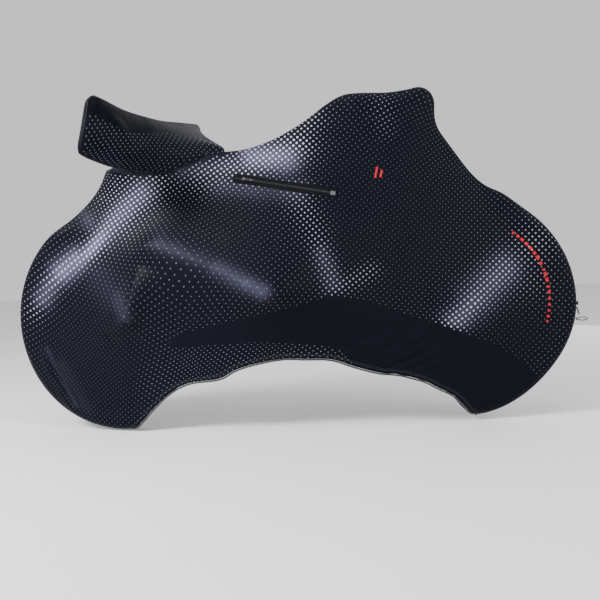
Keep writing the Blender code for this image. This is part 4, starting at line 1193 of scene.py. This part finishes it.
def sweepTree(uneven):
    # a round cord along the line, with ribs four steps apart
    tree = Growth("sweep", dict(Pitch="Float", Radius="Float", Ribs="Float", Sides="Int"))
    step = tree.node("GeometryNodeInputIndex")
    swell = tree.maths("SINE", step * (math.pi / 2)) * tree.inlet("Ribs") + 1.0
    chance = tree.node("FunctionNodeRandomValue", {"data_type": "FLOAT"},
                       {2: 1 - uneven, 3: 1 + uneven, "Seed": tree.inlet("Seed")}, 1)
    ring = tree.node("GeometryNodeCurvePrimitiveCircle", None,
                     {"Resolution": tree.inlet("Sides"), "Radius": tree.inlet("Radius")})
    cord = tree.node("GeometryNodeCurveToMesh", None,
                     {"Curve": tree.line, "Profile Curve": ring, "Scale": swell * chance,
                      "Fill Caps": True})
    return tree.close(tree.node("GeometryNodeSetShadeSmooth", None, {"Geometry": cord}))


rowOfStitches, sweptCord = rowTree(segments=8, rings=4), sweepTree(uneven=0.04)


def lineMesh(name, lines):
    # open or closed lines of points as a mesh of edges, with the way away from the cloth
    verts, edges, lifts = [], [], []
    for points, lift, closed in lines:
        first, count = len(verts), len(points)
        verts += (points - origin).tolist()
        lifts += np.broadcast_to(lift, points.shape).tolist()
        edges += [(first + k, first + (k + 1) % count)
                  for k in range(count if closed else count - 1)]
    mesh = bpy.data.meshes.new(name)
    mesh.from_pydata(verts, edges, [])
    mesh.attributes.new("lift", "FLOAT_VECTOR", "POINT").data.foreach_set(
        "vector", np.array(lifts).reshape(-1))
    return mesh


# how threads, tapes and lacquer are mottled; scales are per metre
mottle = dict(
    grainShare=0.7, wearShare=0.3, wear=24.0, grainRough=0.2, strength=0.8, sheenRoughness=0.5,
    twillShare=0.6, crossShare=0.4, crossPitch=1.3, weaveLight=0.25, weaveBase=0.3,
    weaveIor=1.15, dust=60.0, dustShare=0.6, dustRough=0.2,
    rub=260.0, rubSpan=(0.45, 0.72), rubRough=0.25,
    speckle=2400.0, speckleDepth=0.00003, speckleStrength=0.5,
)


def threadMaterial(name, dark, light, scale, bumpDepth, roughness=0.75, sheen=0.3):
    shop = Shop(name)
    place = shop.solid()
    grain = shop.noise(place, scale, 3.0, 0.6)
    wear = shop.noise(place, mottle["wear"], 2.0)
    mixed = shop.clamped(grain * mottle["grainShare"] + wear * mottle["wearShare"])
    return shop.finish(Base_Color=shop.mix(mixed, dark, light),
                       Roughness=roughness + (grain - 0.5) * mottle["grainRough"],
                       Normal=shop.bump(grain, bumpDepth, mottle["strength"]),
                       Sheen_Weight=sheen, Sheen_Roughness=mottle["sheenRoughness"])


# rows of stitches beside each seam and above the mouth
sewn = dict(pitch=0.0042, size=(0.0015, 0.00042, 0.00030), seamGap=0.0045,
            hemGaps=(0.0090, 0.0135), jitter=0.10, seed=3,
            dark=(0.012, 0.012, 0.018, 1.0), light=(0.045, 0.044, 0.056, 1.0))
threads = threadMaterial("sewingThread", sewn["dark"], sewn["light"], 1800.0, 0.0001)


def insetLine(grid, side, gap, outSign):
    # a line on the cloth at an even distance from one edge, short of the next seams
    turns = dict(bottom=lambda g: g, top=lambda g: g[:, ::-1],
                 left=lambda g: g.swapaxes(0, 1), right=lambda g: g[::-1].swapaxes(0, 1))
    cells, normals = turns[side](grid), turns[side](skinNormals(grid, outSign))
    depth = np.linalg.norm(np.diff(cells, axis=1), axis=2)
    depth = np.concatenate([np.zeros((len(depth), 1)), np.cumsum(depth, axis=1)], axis=1)
    points, lifts = (np.array([[np.interp(gap, depth[k], field[k, :, axis])
                                for axis in range(3)] for k in range(len(cells))])
                     for field in (cells, normals))
    run = runLength(points)
    inside = (run > gap) & (run < run[-1] - gap)
    return points[inside], unit(lifts[inside]), False


def stitchCloth(name, grid, outSign, rows):
    lines = [insetLine(grid, side, gap, outSign) for side, gap in rows]
    piece = rowOfStitches.grow(name, lineMesh(name, lines), Pitch=sewn["pitch"],
                               Size=sewn["size"], Slant=0.0, Jitter=sewn["jitter"],
                               Seed=sewn["seed"], Material=threads)
    print("stitches", name, len(piece.data.polygons))
    return ridesOnRoot(piece)


seamRows = [(side, sewn["seamGap"]) for side in ("left", "top", "right")]
hemRows = [("bottom", gap) for gap in sewn["hemGaps"]]
stitchCloth("nearStitches", nearGrid, 1, seamRows + hemRows)
stitchCloth("farStitches", farGrid, -1, seamRows + hemRows)
hoodRows = seamRows + [("bottom", sewn["seamGap"])]
stitchCloth("hoodBackStitches", backGrid, 1, hoodRows)
stitchCloth("hoodFrontStitches", frontGrid, -1, hoodRows)


# the elastic round the mouth, sewn against both hems
binding = dict(radius=0.0028, ribPitch=0.0040, ribs=0.07, sides=10, seed=7,
               trim=3, endOut=0.004,      # how it turns at the two wheels
               dark=(0.005, 0.005, 0.007, 1.0), light=(0.022, 0.022, 0.027, 1.0))


def bindingLine():
    path = []
    for outer, inner in ((nearGrid, nearInner), (farGrid, farInner)):
        edge = 0.5 * (outer[:, 0] + inner[:, 0])
        down = edge - 0.5 * (outer[:, 1] + inner[:, 1])
        way = ahead(edge)
        down = unit(down - way * np.sum(down * way, axis=1)[:, None])
        out = binding["radius"] * (1 + binding["ribs"]) + 2 * cut["gap"]
        path.append((edge + out * down)[binding["trim"]:-binding["trim"]])
    ends = []
    for seam in (frontSeam(), rearSeam()):
        ends.append(seam[0, :3] - unit(seam[1, :3] - seam[0, :3]) * binding["endOut"])
    return np.vstack([ends[:1], path[0], ends[1:], path[1][::-1]])


elastic = threadMaterial("elasticBinding", binding["dark"], binding["light"], 900.0, 0.0002)
bindingPiece = sweptCord.grow(
    "mouthBinding", lineMesh("mouthBinding", [(bindingLine(), upWay, True)]),
    Pitch=binding["ribPitch"] / 4, Radius=binding["radius"], Ribs=binding["ribs"],
    Sides=binding["sides"], Seed=binding["seed"], Material=elastic)
ridesOnRoot(bindingPiece, ["mouth_binding"])
print("binding", len(bindingPiece.data.polygons))


# the short zip on the near panel, laid on the cloth; heights are above the cloth
zipWords = dict(
    start=(-0.179, 0.761), end=(0.132, 0.702),
    tapeSpan=(0.0, 0.316), tapeHalf=0.0140, tapeFrom=0.0004, tapeThick=0.0009,
    tapeStep=0.002, tapeColumns=17, thinEdge=0.0004, thinFrom=0.85, thinOver=0.15,
    welts=((0.0040, 0.0012, 0.0003),),
    coilSpan=(0.004, 0.296), toothPitch=0.0015, toothSize=(0.00042, 0.0014, 0.0006),
    toothAcross=0.0010, toothHeight=0.0026, slant=0.22,
    cordAcross=0.0021, cordRadius=0.00045, cordHeight=0.0021,
    cordPitch=0.0008, cordRibs=0.10, cordSides=6, lineSteps=150, aside=0.001,
    sliderAt=0.032, pullerFrom=0.0386, pullerTo=0.0620,
    seat=(0.006, 0.003), bevel=0.0003, fineBevel=0.00018,   # of slider and puller
    slider=(0.012, 0.0048, 0.0037, 0.0066),   # long, half width, under and upper face
    ring=(0.0105, 0.0026, 0.0008, 0.0039, 0.0048),   # long, half, bar, under and upper face
    padFaces=(0.0038, 0.0051), gripAt=(0.0128, 0.0150, 0.0172, 0.0194),
    grip=(0.0007, 0.0022, 0.0050, 0.0055),    # long, half width, under and upper face
    tabSpan=(0.2965, 0.3120), tabHalf=0.0060, tabFrom=0.0017, tabThick=0.0011, tabStep=0.0008,
    weave=dict(dark=(0.002, 0.002, 0.003, 1.0), light=(0.008, 0.008, 0.011, 1.0)),
    endWeave=dict(dark=(0.06, 0.06, 0.07, 1.0), light=(0.18, 0.18, 0.20, 1.0)),
    coil=dict(dark=(0.010, 0.010, 0.013, 1.0), light=(0.045, 0.045, 0.052, 1.0)),
    paint=dict(dark=(0.030, 0.030, 0.034, 1.0), light=(0.16, 0.16, 0.17, 1.0)),
)
zipStart, zipEnd = np.array(zipWords["start"]), np.array(zipWords["end"])
zipWay = unit(zipEnd - zipStart)
zipSquare = np.array((-zipWay[1], zipWay[0]))


nearTree = BVHTree.FromPolygons(nearGrid.reshape(-1, 3).tolist(),
                                quadsOf(*nearGrid.shape[:2]).tolist())


def onZip(places, acrosses):
    # points of the cloth under the zip and its normals there, as grids
    spots = np.empty((len(places), len(acrosses), 3))
    for i, place in enumerate(places):
        for j, across in enumerate(acrosses):
            x, z = zipStart + zipWay * place + zipSquare * across
            spots[i, j] = nearTree.ray_cast((x, -1.0, z), (0.0, 1.0, 0.0))[0]
    return spots, skinNormals(spots, 1)


def strip(name, span, half, bottom, thick, step, edge=0.0, welts=()):
    # a woven tape laid along the zip, thinner at its long edges
    places = np.linspace(*span, max(3, int((span[1] - span[0]) / step)))
    acrosses = np.linspace(-half, half, zipWords["tapeColumns"])
    spots, normals = onZip(places, acrosses)
    share = (np.abs(acrosses) / half - zipWords["thinFrom"]) / zipWords["thinOver"]
    height = thick - edge * np.clip(share, 0, 1)
    for middle, wide, rise in welts:
        height = height + rise * np.exp(-((np.abs(acrosses) - middle) / wide) ** 2)
    inner = spots + bottom * normals
    place = np.stack(np.meshgrid(places, acrosses, indexing="ij"), -1)
    piece = gridMesh(name, inner + height[None, :, None] * normals, inner, 1, place, {})
    piece.data.polygons.foreach_set("material_index", np.zeros(len(piece.data.polygons), int))
    return piece


def wovenMaterial(name, dark, light, pitch, depth=0.0001, roughness=0.7):
    # a plain twill weave along the tape's own coordinates
    shop = Shop(name)
    u, v = shop.uv()
    turn = 2 * math.pi / pitch
    twill = shop.maths("SINE", (u + shop.maths("ABSOLUTE", v)) * turn)
    cross = shop.maths("SINE", v * (turn * mottle["crossPitch"]))
    height = twill * mottle["twillShare"] + cross * mottle["crossShare"]
    dust = shop.noise(shop.solid(), mottle["dust"], 3.0) - 0.5
    mixed = shop.clamped(height * mottle["weaveLight"] + mottle["weaveBase"]
                         + dust * mottle["dustShare"])
    return shop.finish(Base_Color=shop.mix(mixed, dark, light), IOR=mottle["weaveIor"],
                       Normal=shop.bump(height, depth, mottle["strength"]),
                       Roughness=roughness + dust * mottle["dustRough"])


def lacquer(name, dark, light, metallic, roughness):
    # painted metal, rubbed a little and with fine speckle
    shop = Shop(name)
    place = shop.solid()
    rub = shop.noise(place, mottle["rub"], 4.0, 0.6)
    speckle = shop.noise(place, mottle["speckle"], 2.0, 0.5)
    return shop.finish(Base_Color=shop.mix(shop.ramp(rub, *mottle["rubSpan"]), dark, light),
                       Metallic=metallic, Roughness=roughness + (rub - 0.5) * mottle["rubRough"],
                       Normal=shop.bump(speckle, mottle["speckleDepth"],
                                        mottle["speckleStrength"]))


tapePiece = strip("zipTape", zipWords["tapeSpan"], zipWords["tapeHalf"], zipWords["tapeFrom"],
                  zipWords["tapeThick"], zipWords["tapeStep"], zipWords["thinEdge"],
                  zipWords["welts"])
ridesOnRoot(tapePiece, ["zip_tape"],
            [wovenMaterial("zipTapeWeave", pitch=0.0012, **zipWords["weave"])])


def zipLine(span, across, height, shift=0.0):
    places = np.linspace(span[0] + shift, span[1] + shift, zipWords["lineSteps"])
    aside = zipWords["aside"]
    spots, normals = onZip(places, (across - aside, across, across + aside))
    return spots[:, 1] + height * normals[:, 1], normals[:, 1], False


def joined(name, pieces):
    bpy.ops.object.select_all(action="DESELECT")
    for piece in pieces:
        piece.select_set(True)
    bpy.context.view_layer.objects.active = pieces[0]
    bpy.ops.object.join()
    pieces[0].name = pieces[0].data.name = name
    return pieces[0]


coilMaterial = lacquer("nylonCoil", metallic=0.0, roughness=0.38, **zipWords["coil"])
coilParts = []
for turn in (-1, 1):
    line = zipLine(zipWords["coilSpan"], turn * zipWords["toothAcross"],
                   zipWords["toothHeight"], 0.25 * turn * zipWords["toothPitch"])
    coilParts.append(rowOfStitches.grow(
        "teeth", lineMesh("teeth", [line]), Pitch=zipWords["toothPitch"],
        Size=zipWords["toothSize"], Slant=turn * zipWords["slant"], Jitter=0.0, Seed=1,
        Material=coilMaterial))
    line = zipLine(zipWords["coilSpan"], turn * zipWords["cordAcross"], zipWords["cordHeight"])
    coilParts.append(sweptCord.grow(
        "sideCord", lineMesh("sideCord", [line]), Pitch=zipWords["cordPitch"],
        Radius=zipWords["cordRadius"], Ribs=zipWords["cordRibs"], Sides=zipWords["cordSides"],
        Seed=2, Material=coilMaterial))
ridesOnRoot(joined("zipCoil", coilParts), ["zip_coil"])


def mirrored(points):
    return points + [(u, -w) for u, w in points[::-1]]


def solidPlates(name, plates, frameAt, bevel):
    # plates cut to an outline and bevelled: each is points, two depths, and whether its
    # outline is seen from the side; frameAt is a point with its ways along, across and out
    spot, along, across, outward = frameAt
    verts, faces = [], []
    for outline, low, high, fromSide in plates:
        bm = bmesh.new()
        rims = []
        for depth in (low, high):
            rims.append([bm.verts.new((u, depth, w) if fromSide else (u, w, depth))
                         for u, w in outline])
        bm.faces.new(rims[0])
        bm.faces.new(rims[1][::-1])
        for k in range(len(outline)):
            after = (k + 1) % len(outline)
            bm.faces.new((rims[0][k], rims[1][k], rims[1][after], rims[0][after]))
        bmesh.ops.bevel(bm, geom=bm.edges[:], offset=bevel, segments=2, profile=0.6,
                        affect="EDGES", clamp_overlap=True)
        bmesh.ops.recalc_face_normals(bm, faces=bm.faces)
        first = len(verts)
        bm.verts.index_update()
        verts += [spot + vert.co.x * along + vert.co.y * across + vert.co.z * outward - origin
                  for vert in bm.verts]
        faces += [[first + vert.index for vert in face.verts] for face in bm.faces]
        bm.free()
    mesh = bpy.data.meshes.new(name)
    mesh.from_pydata([tuple(v) for v in verts], [], faces)
    mesh.shade_smooth()
    mesh.set_sharp_from_angle(angle=math.radians(40))
    return placed(name, mesh)


def sliderPlates(long, half, base, top):
    # body with its two side flanges, and the bridge over it that holds the pull
    a, rise = long / 2, top - base
    body = mirrored([(-a, 0.55 * half), (-0.75 * a, 0.95 * half), (0.2 * a, half),
                     (0.75 * a, 0.7 * half), (a, 0.5 * half)])
    low, mid = base + 0.38 * rise, base + 0.70 * rise
    bridge = [(-0.78 * a, low - 0.0003), (-0.74 * a, top - 0.0006), (-0.55 * a, top),
              (0.42 * a, top), (0.64 * a, top - 0.0006), (0.72 * a, low - 0.0003),
              (0.52 * a, low - 0.0003), (0.46 * a, mid), (-0.50 * a, mid),
              (-0.58 * a, low - 0.0003)]
    flange = [(u, base + 0.0003 + w) for u, w in
              ((-0.72 * a, 0), (-0.6 * a, -0.0014), (0.3 * a, -0.0014), (0.5 * a, 0))]
    return [(body, base, low, False), (bridge, -0.22 * half, 0.22 * half, True),
            (flange, 0.72 * half, 0.94 * half, True), (flange, -0.94 * half, -0.72 * half, True)]


def ringPlates(length, half, wide, low, high):
    # a flat frame with a long opening, cut as two halves
    inner = half - wide
    turns = np.linspace(-math.pi / 2, math.pi / 2, 9)
    far = [(length - half + half * math.cos(t), half * math.sin(t)) for t in turns]
    farIn = [(length - half + inner * math.cos(t), inner * math.sin(t)) for t in turns[::-1]]
    right = [(0.0, -half)] + far + [(0.0, half), (0.0, inner)] + farIn + [(0.0, -inner)]
    cap = [(0.0, -half), (wide * 1.2, -half), (wide * 1.2, half), (0.0, half)]
    return [(right, low, high, False), (cap, low, high, False)]


def zipFrame(place):
    back, side = zipWords["seat"]
    spots, normals = onZip((place - back, place, place + back), (-side, 0.0, side))
    outward = normals.mean(axis=(0, 1))
    along = unit(spots[2, 1] - spots[0, 1])
    along = unit(along - outward * (along @ outward))
    return spots[1, 1], along, np.cross(outward, along), outward


def gripPlates(places, long, half, low, high):
    # small cross bars to grip
    return [([(u, -half), (u + long, -half), (u + long, half), (u, half)], low, high, False)
            for u in places]


sliderFinish = lacquer("zipLacquer", metallic=0.85, roughness=0.36, **zipWords["paint"])
sliderPiece = solidPlates("zipSlider", sliderPlates(*zipWords["slider"]),
                          zipFrame(zipWords["sliderAt"]), zipWords["bevel"])
ridesOnRoot(sliderPiece, ["zip_slider"], [sliderFinish])
pullerLength = zipWords["pullerTo"] - zipWords["pullerFrom"]
pad = mirrored([(0.009, -0.0023), (0.0105, -0.0032), (pullerLength - 0.002, -0.0034),
                (pullerLength, -0.0018)])
pullerPiece = solidPlates(
    "zipPuller", ringPlates(*zipWords["ring"]) + [(pad, *zipWords["padFaces"], False)]
    + gripPlates(zipWords["gripAt"], *zipWords["grip"]), zipFrame(zipWords["pullerFrom"]),
    zipWords["fineBevel"])
ridesOnRoot(pullerPiece, ["zip_puller"], [sliderFinish])
tabPiece = strip("zipEndTab", zipWords["tabSpan"], zipWords["tabHalf"], zipWords["tabFrom"],
                 zipWords["tabThick"], zipWords["tabStep"], zipWords["thinEdge"])
ridesOnRoot(tabPiece, ["zip_end_tab"],
            [wovenMaterial("endTabWeave", pitch=0.0010, **zipWords["endWeave"])])
print("zip laid")


# the small slider and tab on the rear seam, and the cord loop sewn in below them
tail = dict(
    sliderAt=-1.5, tabAt=-5.4, loopAt=-9.6,   # degrees above the rear hub's level
    slider=(0.0048, 0.0100, 0.0140), sliderOut=0.0006, sliderBase=0.0014,
    tab=(0.0026, 0.0070, 0.0240), tabOut=0.0062, lean=16.0, bevel=0.0003, tabBevel=0.0004,
    gripAt=(-0.0090, -0.0068, -0.0046, -0.0024), grip=(0.0008, 0.0022, 0.0004, 0.0011),
    reach=0.036, half=0.0055, cord=0.0015, strands=3, twist=0.0042, strandOff=0.52,
    strandRadius=0.62, opening=0.10, loopOut=0.0012, loopSteps=260,
    cordPitch=0.0004, cordRibs=0.05, cordSides=7, seed=4,
    paint=dict(dark=(0.018, 0.018, 0.021, 1.0), light=(0.10, 0.10, 0.11, 1.0)),
    plastic=dict(dark=(0.014, 0.014, 0.017, 1.0), light=(0.045, 0.045, 0.05, 1.0)),
    thread=dict(dark=(0.006, 0.006, 0.008, 1.0), light=(0.030, 0.030, 0.036, 1.0)),
)


def rearSpot(degrees, out):
    line = rearSeam()
    hub = np.array(cut["rearHub"])
    angles = np.arctan2(line[:, 2] - hub[2], line[:, 0] - hub[0])
    angle = math.radians(degrees)
    outward = np.array((math.cos(angle), 0.0, math.sin(angle)))
    spot = np.array([np.interp(angle, angles, line[:, k]) for k in range(3)])
    return spot + out * outward, outward


thick, wide, tall = tail["slider"]
spot, outward = rearSpot(tail["sliderAt"], 2 * cut["gap"] + tail["sliderOut"])
down = np.cross(outward, (0.0, 1.0, 0.0))
tailSlider = solidPlates("tailSlider", sliderPlates(tall, wide / 2, tail["sliderBase"], thick),
                         (spot, down, np.array((0.0, 1.0, 0.0)), outward), tail["bevel"])
ridesOnRoot(tailSlider, ["tail_slider"],
            [lacquer("tailLacquer", metallic=0.7, roughness=0.4, **tail["paint"])])
thick, wide, tall = tail["tab"]
lean = math.radians(tail["lean"])
spot = rearSpot(tail["tabAt"], tail["tabOut"])[0]
tabWays = (np.array((-math.sin(lean), 0.0, math.cos(lean))), np.array((0.0, 1.0, 0.0)),
           np.array((math.cos(lean), 0.0, math.sin(lean))))
outline = mirrored([(-tall / 2, 0.7 * wide / 2), (-0.45 * tall, wide / 2),
                    (0.42 * tall, wide / 2), (tall / 2, 0.6 * wide / 2)])
tailTab = solidPlates("tailTab", [(outline, -thick / 2, thick / 2, False)]
                      + gripPlates(tail["gripAt"], *tail["grip"]), (spot, *tabWays),
                      tail["tabBevel"])
ridesOnRoot(tailTab, ["tail_tab"],
            [threadMaterial("tailTabPlastic", scale=500.0, bumpDepth=0.00006, roughness=0.5,
                            sheen=0.0, **tail["plastic"])])


def tailLoop():
    # a cord of three strands twisted together, sewn in at both ends
    turn = np.linspace(tail["opening"], 2 * math.pi - tail["opening"], tail["loopSteps"])
    base = rearSpot(tail["loopAt"], tail["cord"] + tail["loopOut"])[0]
    middle = np.stack([base[0] + tail["reach"] * 0.5 * (1 - np.cos(turn)),
                       np.full_like(turn, base[1]),
                       base[2] + tail["half"] * np.sin(turn) * np.sin(turn / 2) ** 0.5], 1)
    run = runLength(middle)
    way = ahead(middle)
    side = np.array((0.0, 1.0, 0.0))
    other = unit(np.cross(way, side))
    lines = []
    for strand in range(tail["strands"]):
        angle = 2 * math.pi * (run / tail["twist"] + strand / tail["strands"])
        off = tail["strandOff"] * tail["cord"] * (np.cos(angle)[:, None] * side
                                                  + np.sin(angle)[:, None] * other)
        lines.append((middle + off, other, False))
    print("loop of", round(float(run[-1]), 4), "m")
    material = threadMaterial("loopCord", scale=2500.0, bumpDepth=0.0001, **tail["thread"])
    return sweptCord.grow("tailLoop", lineMesh("tailLoop", lines), Pitch=tail["cordPitch"],
                          Radius=tail["strandRadius"] * tail["cord"], Ribs=tail["cordRibs"],
                          Sides=tail["cordSides"], Seed=tail["seed"], Material=material)


ridesOnRoot(tailLoop(), ["tail_loop"])
print("tail pieces made")


# camera and light; the photo's size and its focal length are in pixels
view = dict(place=(0.0, -2.4, 0.515), roll=1.7, photo=600, focal=774, sensor=36, shift=(5, -43))
roll = math.radians(view["roll"])
camera = placed("camera", bpy.data.cameras.new("camera"))
camera.data.lens = view["focal"] / view["photo"] * view["sensor"]
camera.data.sensor_width = view["sensor"]
camera.data.shift_x, camera.data.shift_y = (pixels / view["photo"] for pixels in view["shift"])
camera.data.dof.use_dof = False
turn = Matrix(((math.cos(roll), math.sin(roll), 0.0), (0.0, 0.0, -1.0),
               (-math.sin(roll), math.cos(roll), 0.0)))
camera.matrix_world = Matrix.Translation(np.array(view["place"]) - origin) @ turn.to_4x4()
bpy.context.scene.camera = camera

room = dict(aim=(0.0, 0.0, 0.55), sky=0.85, floorDown=0.0045, floorHalf=9, floorScale=3.0,
            floorDark=(0.80, 0.80, 0.80, 1.0), floorLight=(0.84, 0.84, 0.84, 1.0))
lamps = (                 # x, y, z in the layout, size, power, colour
    ("keyLamp", (-2.2, -1.7, 2.1), 0.9, 170.0, (0.95, 0.98, 1.0)),
    ("sideLamp", (2.6, -2.0, 1.6), 1.6, 50.0, (0.98, 0.98, 1.0)),
    ("backLamp", (1.5, 2.8, 1.2), 2.4, 20.0, (1.0, 1.0, 1.0)),
    ("topLamp", (0.0, -1.4, 3.2), 1.8, 30.0, (1.0, 1.0, 1.0)),
)
for name, place, size, power, colour in lamps:
    lamp = placed(name, bpy.data.lights.new(name, "AREA"))
    lamp.data.size, lamp.data.energy, lamp.data.color = size, power, colour
    lamp.location = np.array(place) - origin
    aim = Vector(np.array(room["aim"]) - origin) - lamp.location
    lamp.rotation_euler = aim.to_track_quat("-Z", "Y").to_euler()

world = bpy.data.worlds.new("studio")
bpy.context.scene.world = world
world.use_nodes = True
sky = world.node_tree.nodes["Background"].inputs
sky["Color"].default_value, sky["Strength"].default_value = (1.0, 1.0, 1.0, 1.0), room["sky"]

floorMesh = bpy.data.meshes.new("floor")
half = room["floorHalf"]
floorMesh.from_pydata([(x, y, -room["floorDown"] - origin[2]) for x, y in
                       ((-half, -half), (half, -half), (half, half), (-half, half))], [],
                      [(0, 1, 2, 3)])
floor = placed("floor", floorMesh)
floorShop = Shop("paleFloor")
floorTone = floorShop.mix(floorShop.noise(floorShop.solid(), room["floorScale"]),
                          room["floorDark"], room["floorLight"])
floorMesh.materials.append(floorShop.finish(Base_Color=floorTone, Roughness=0.7))

print("scene ready")
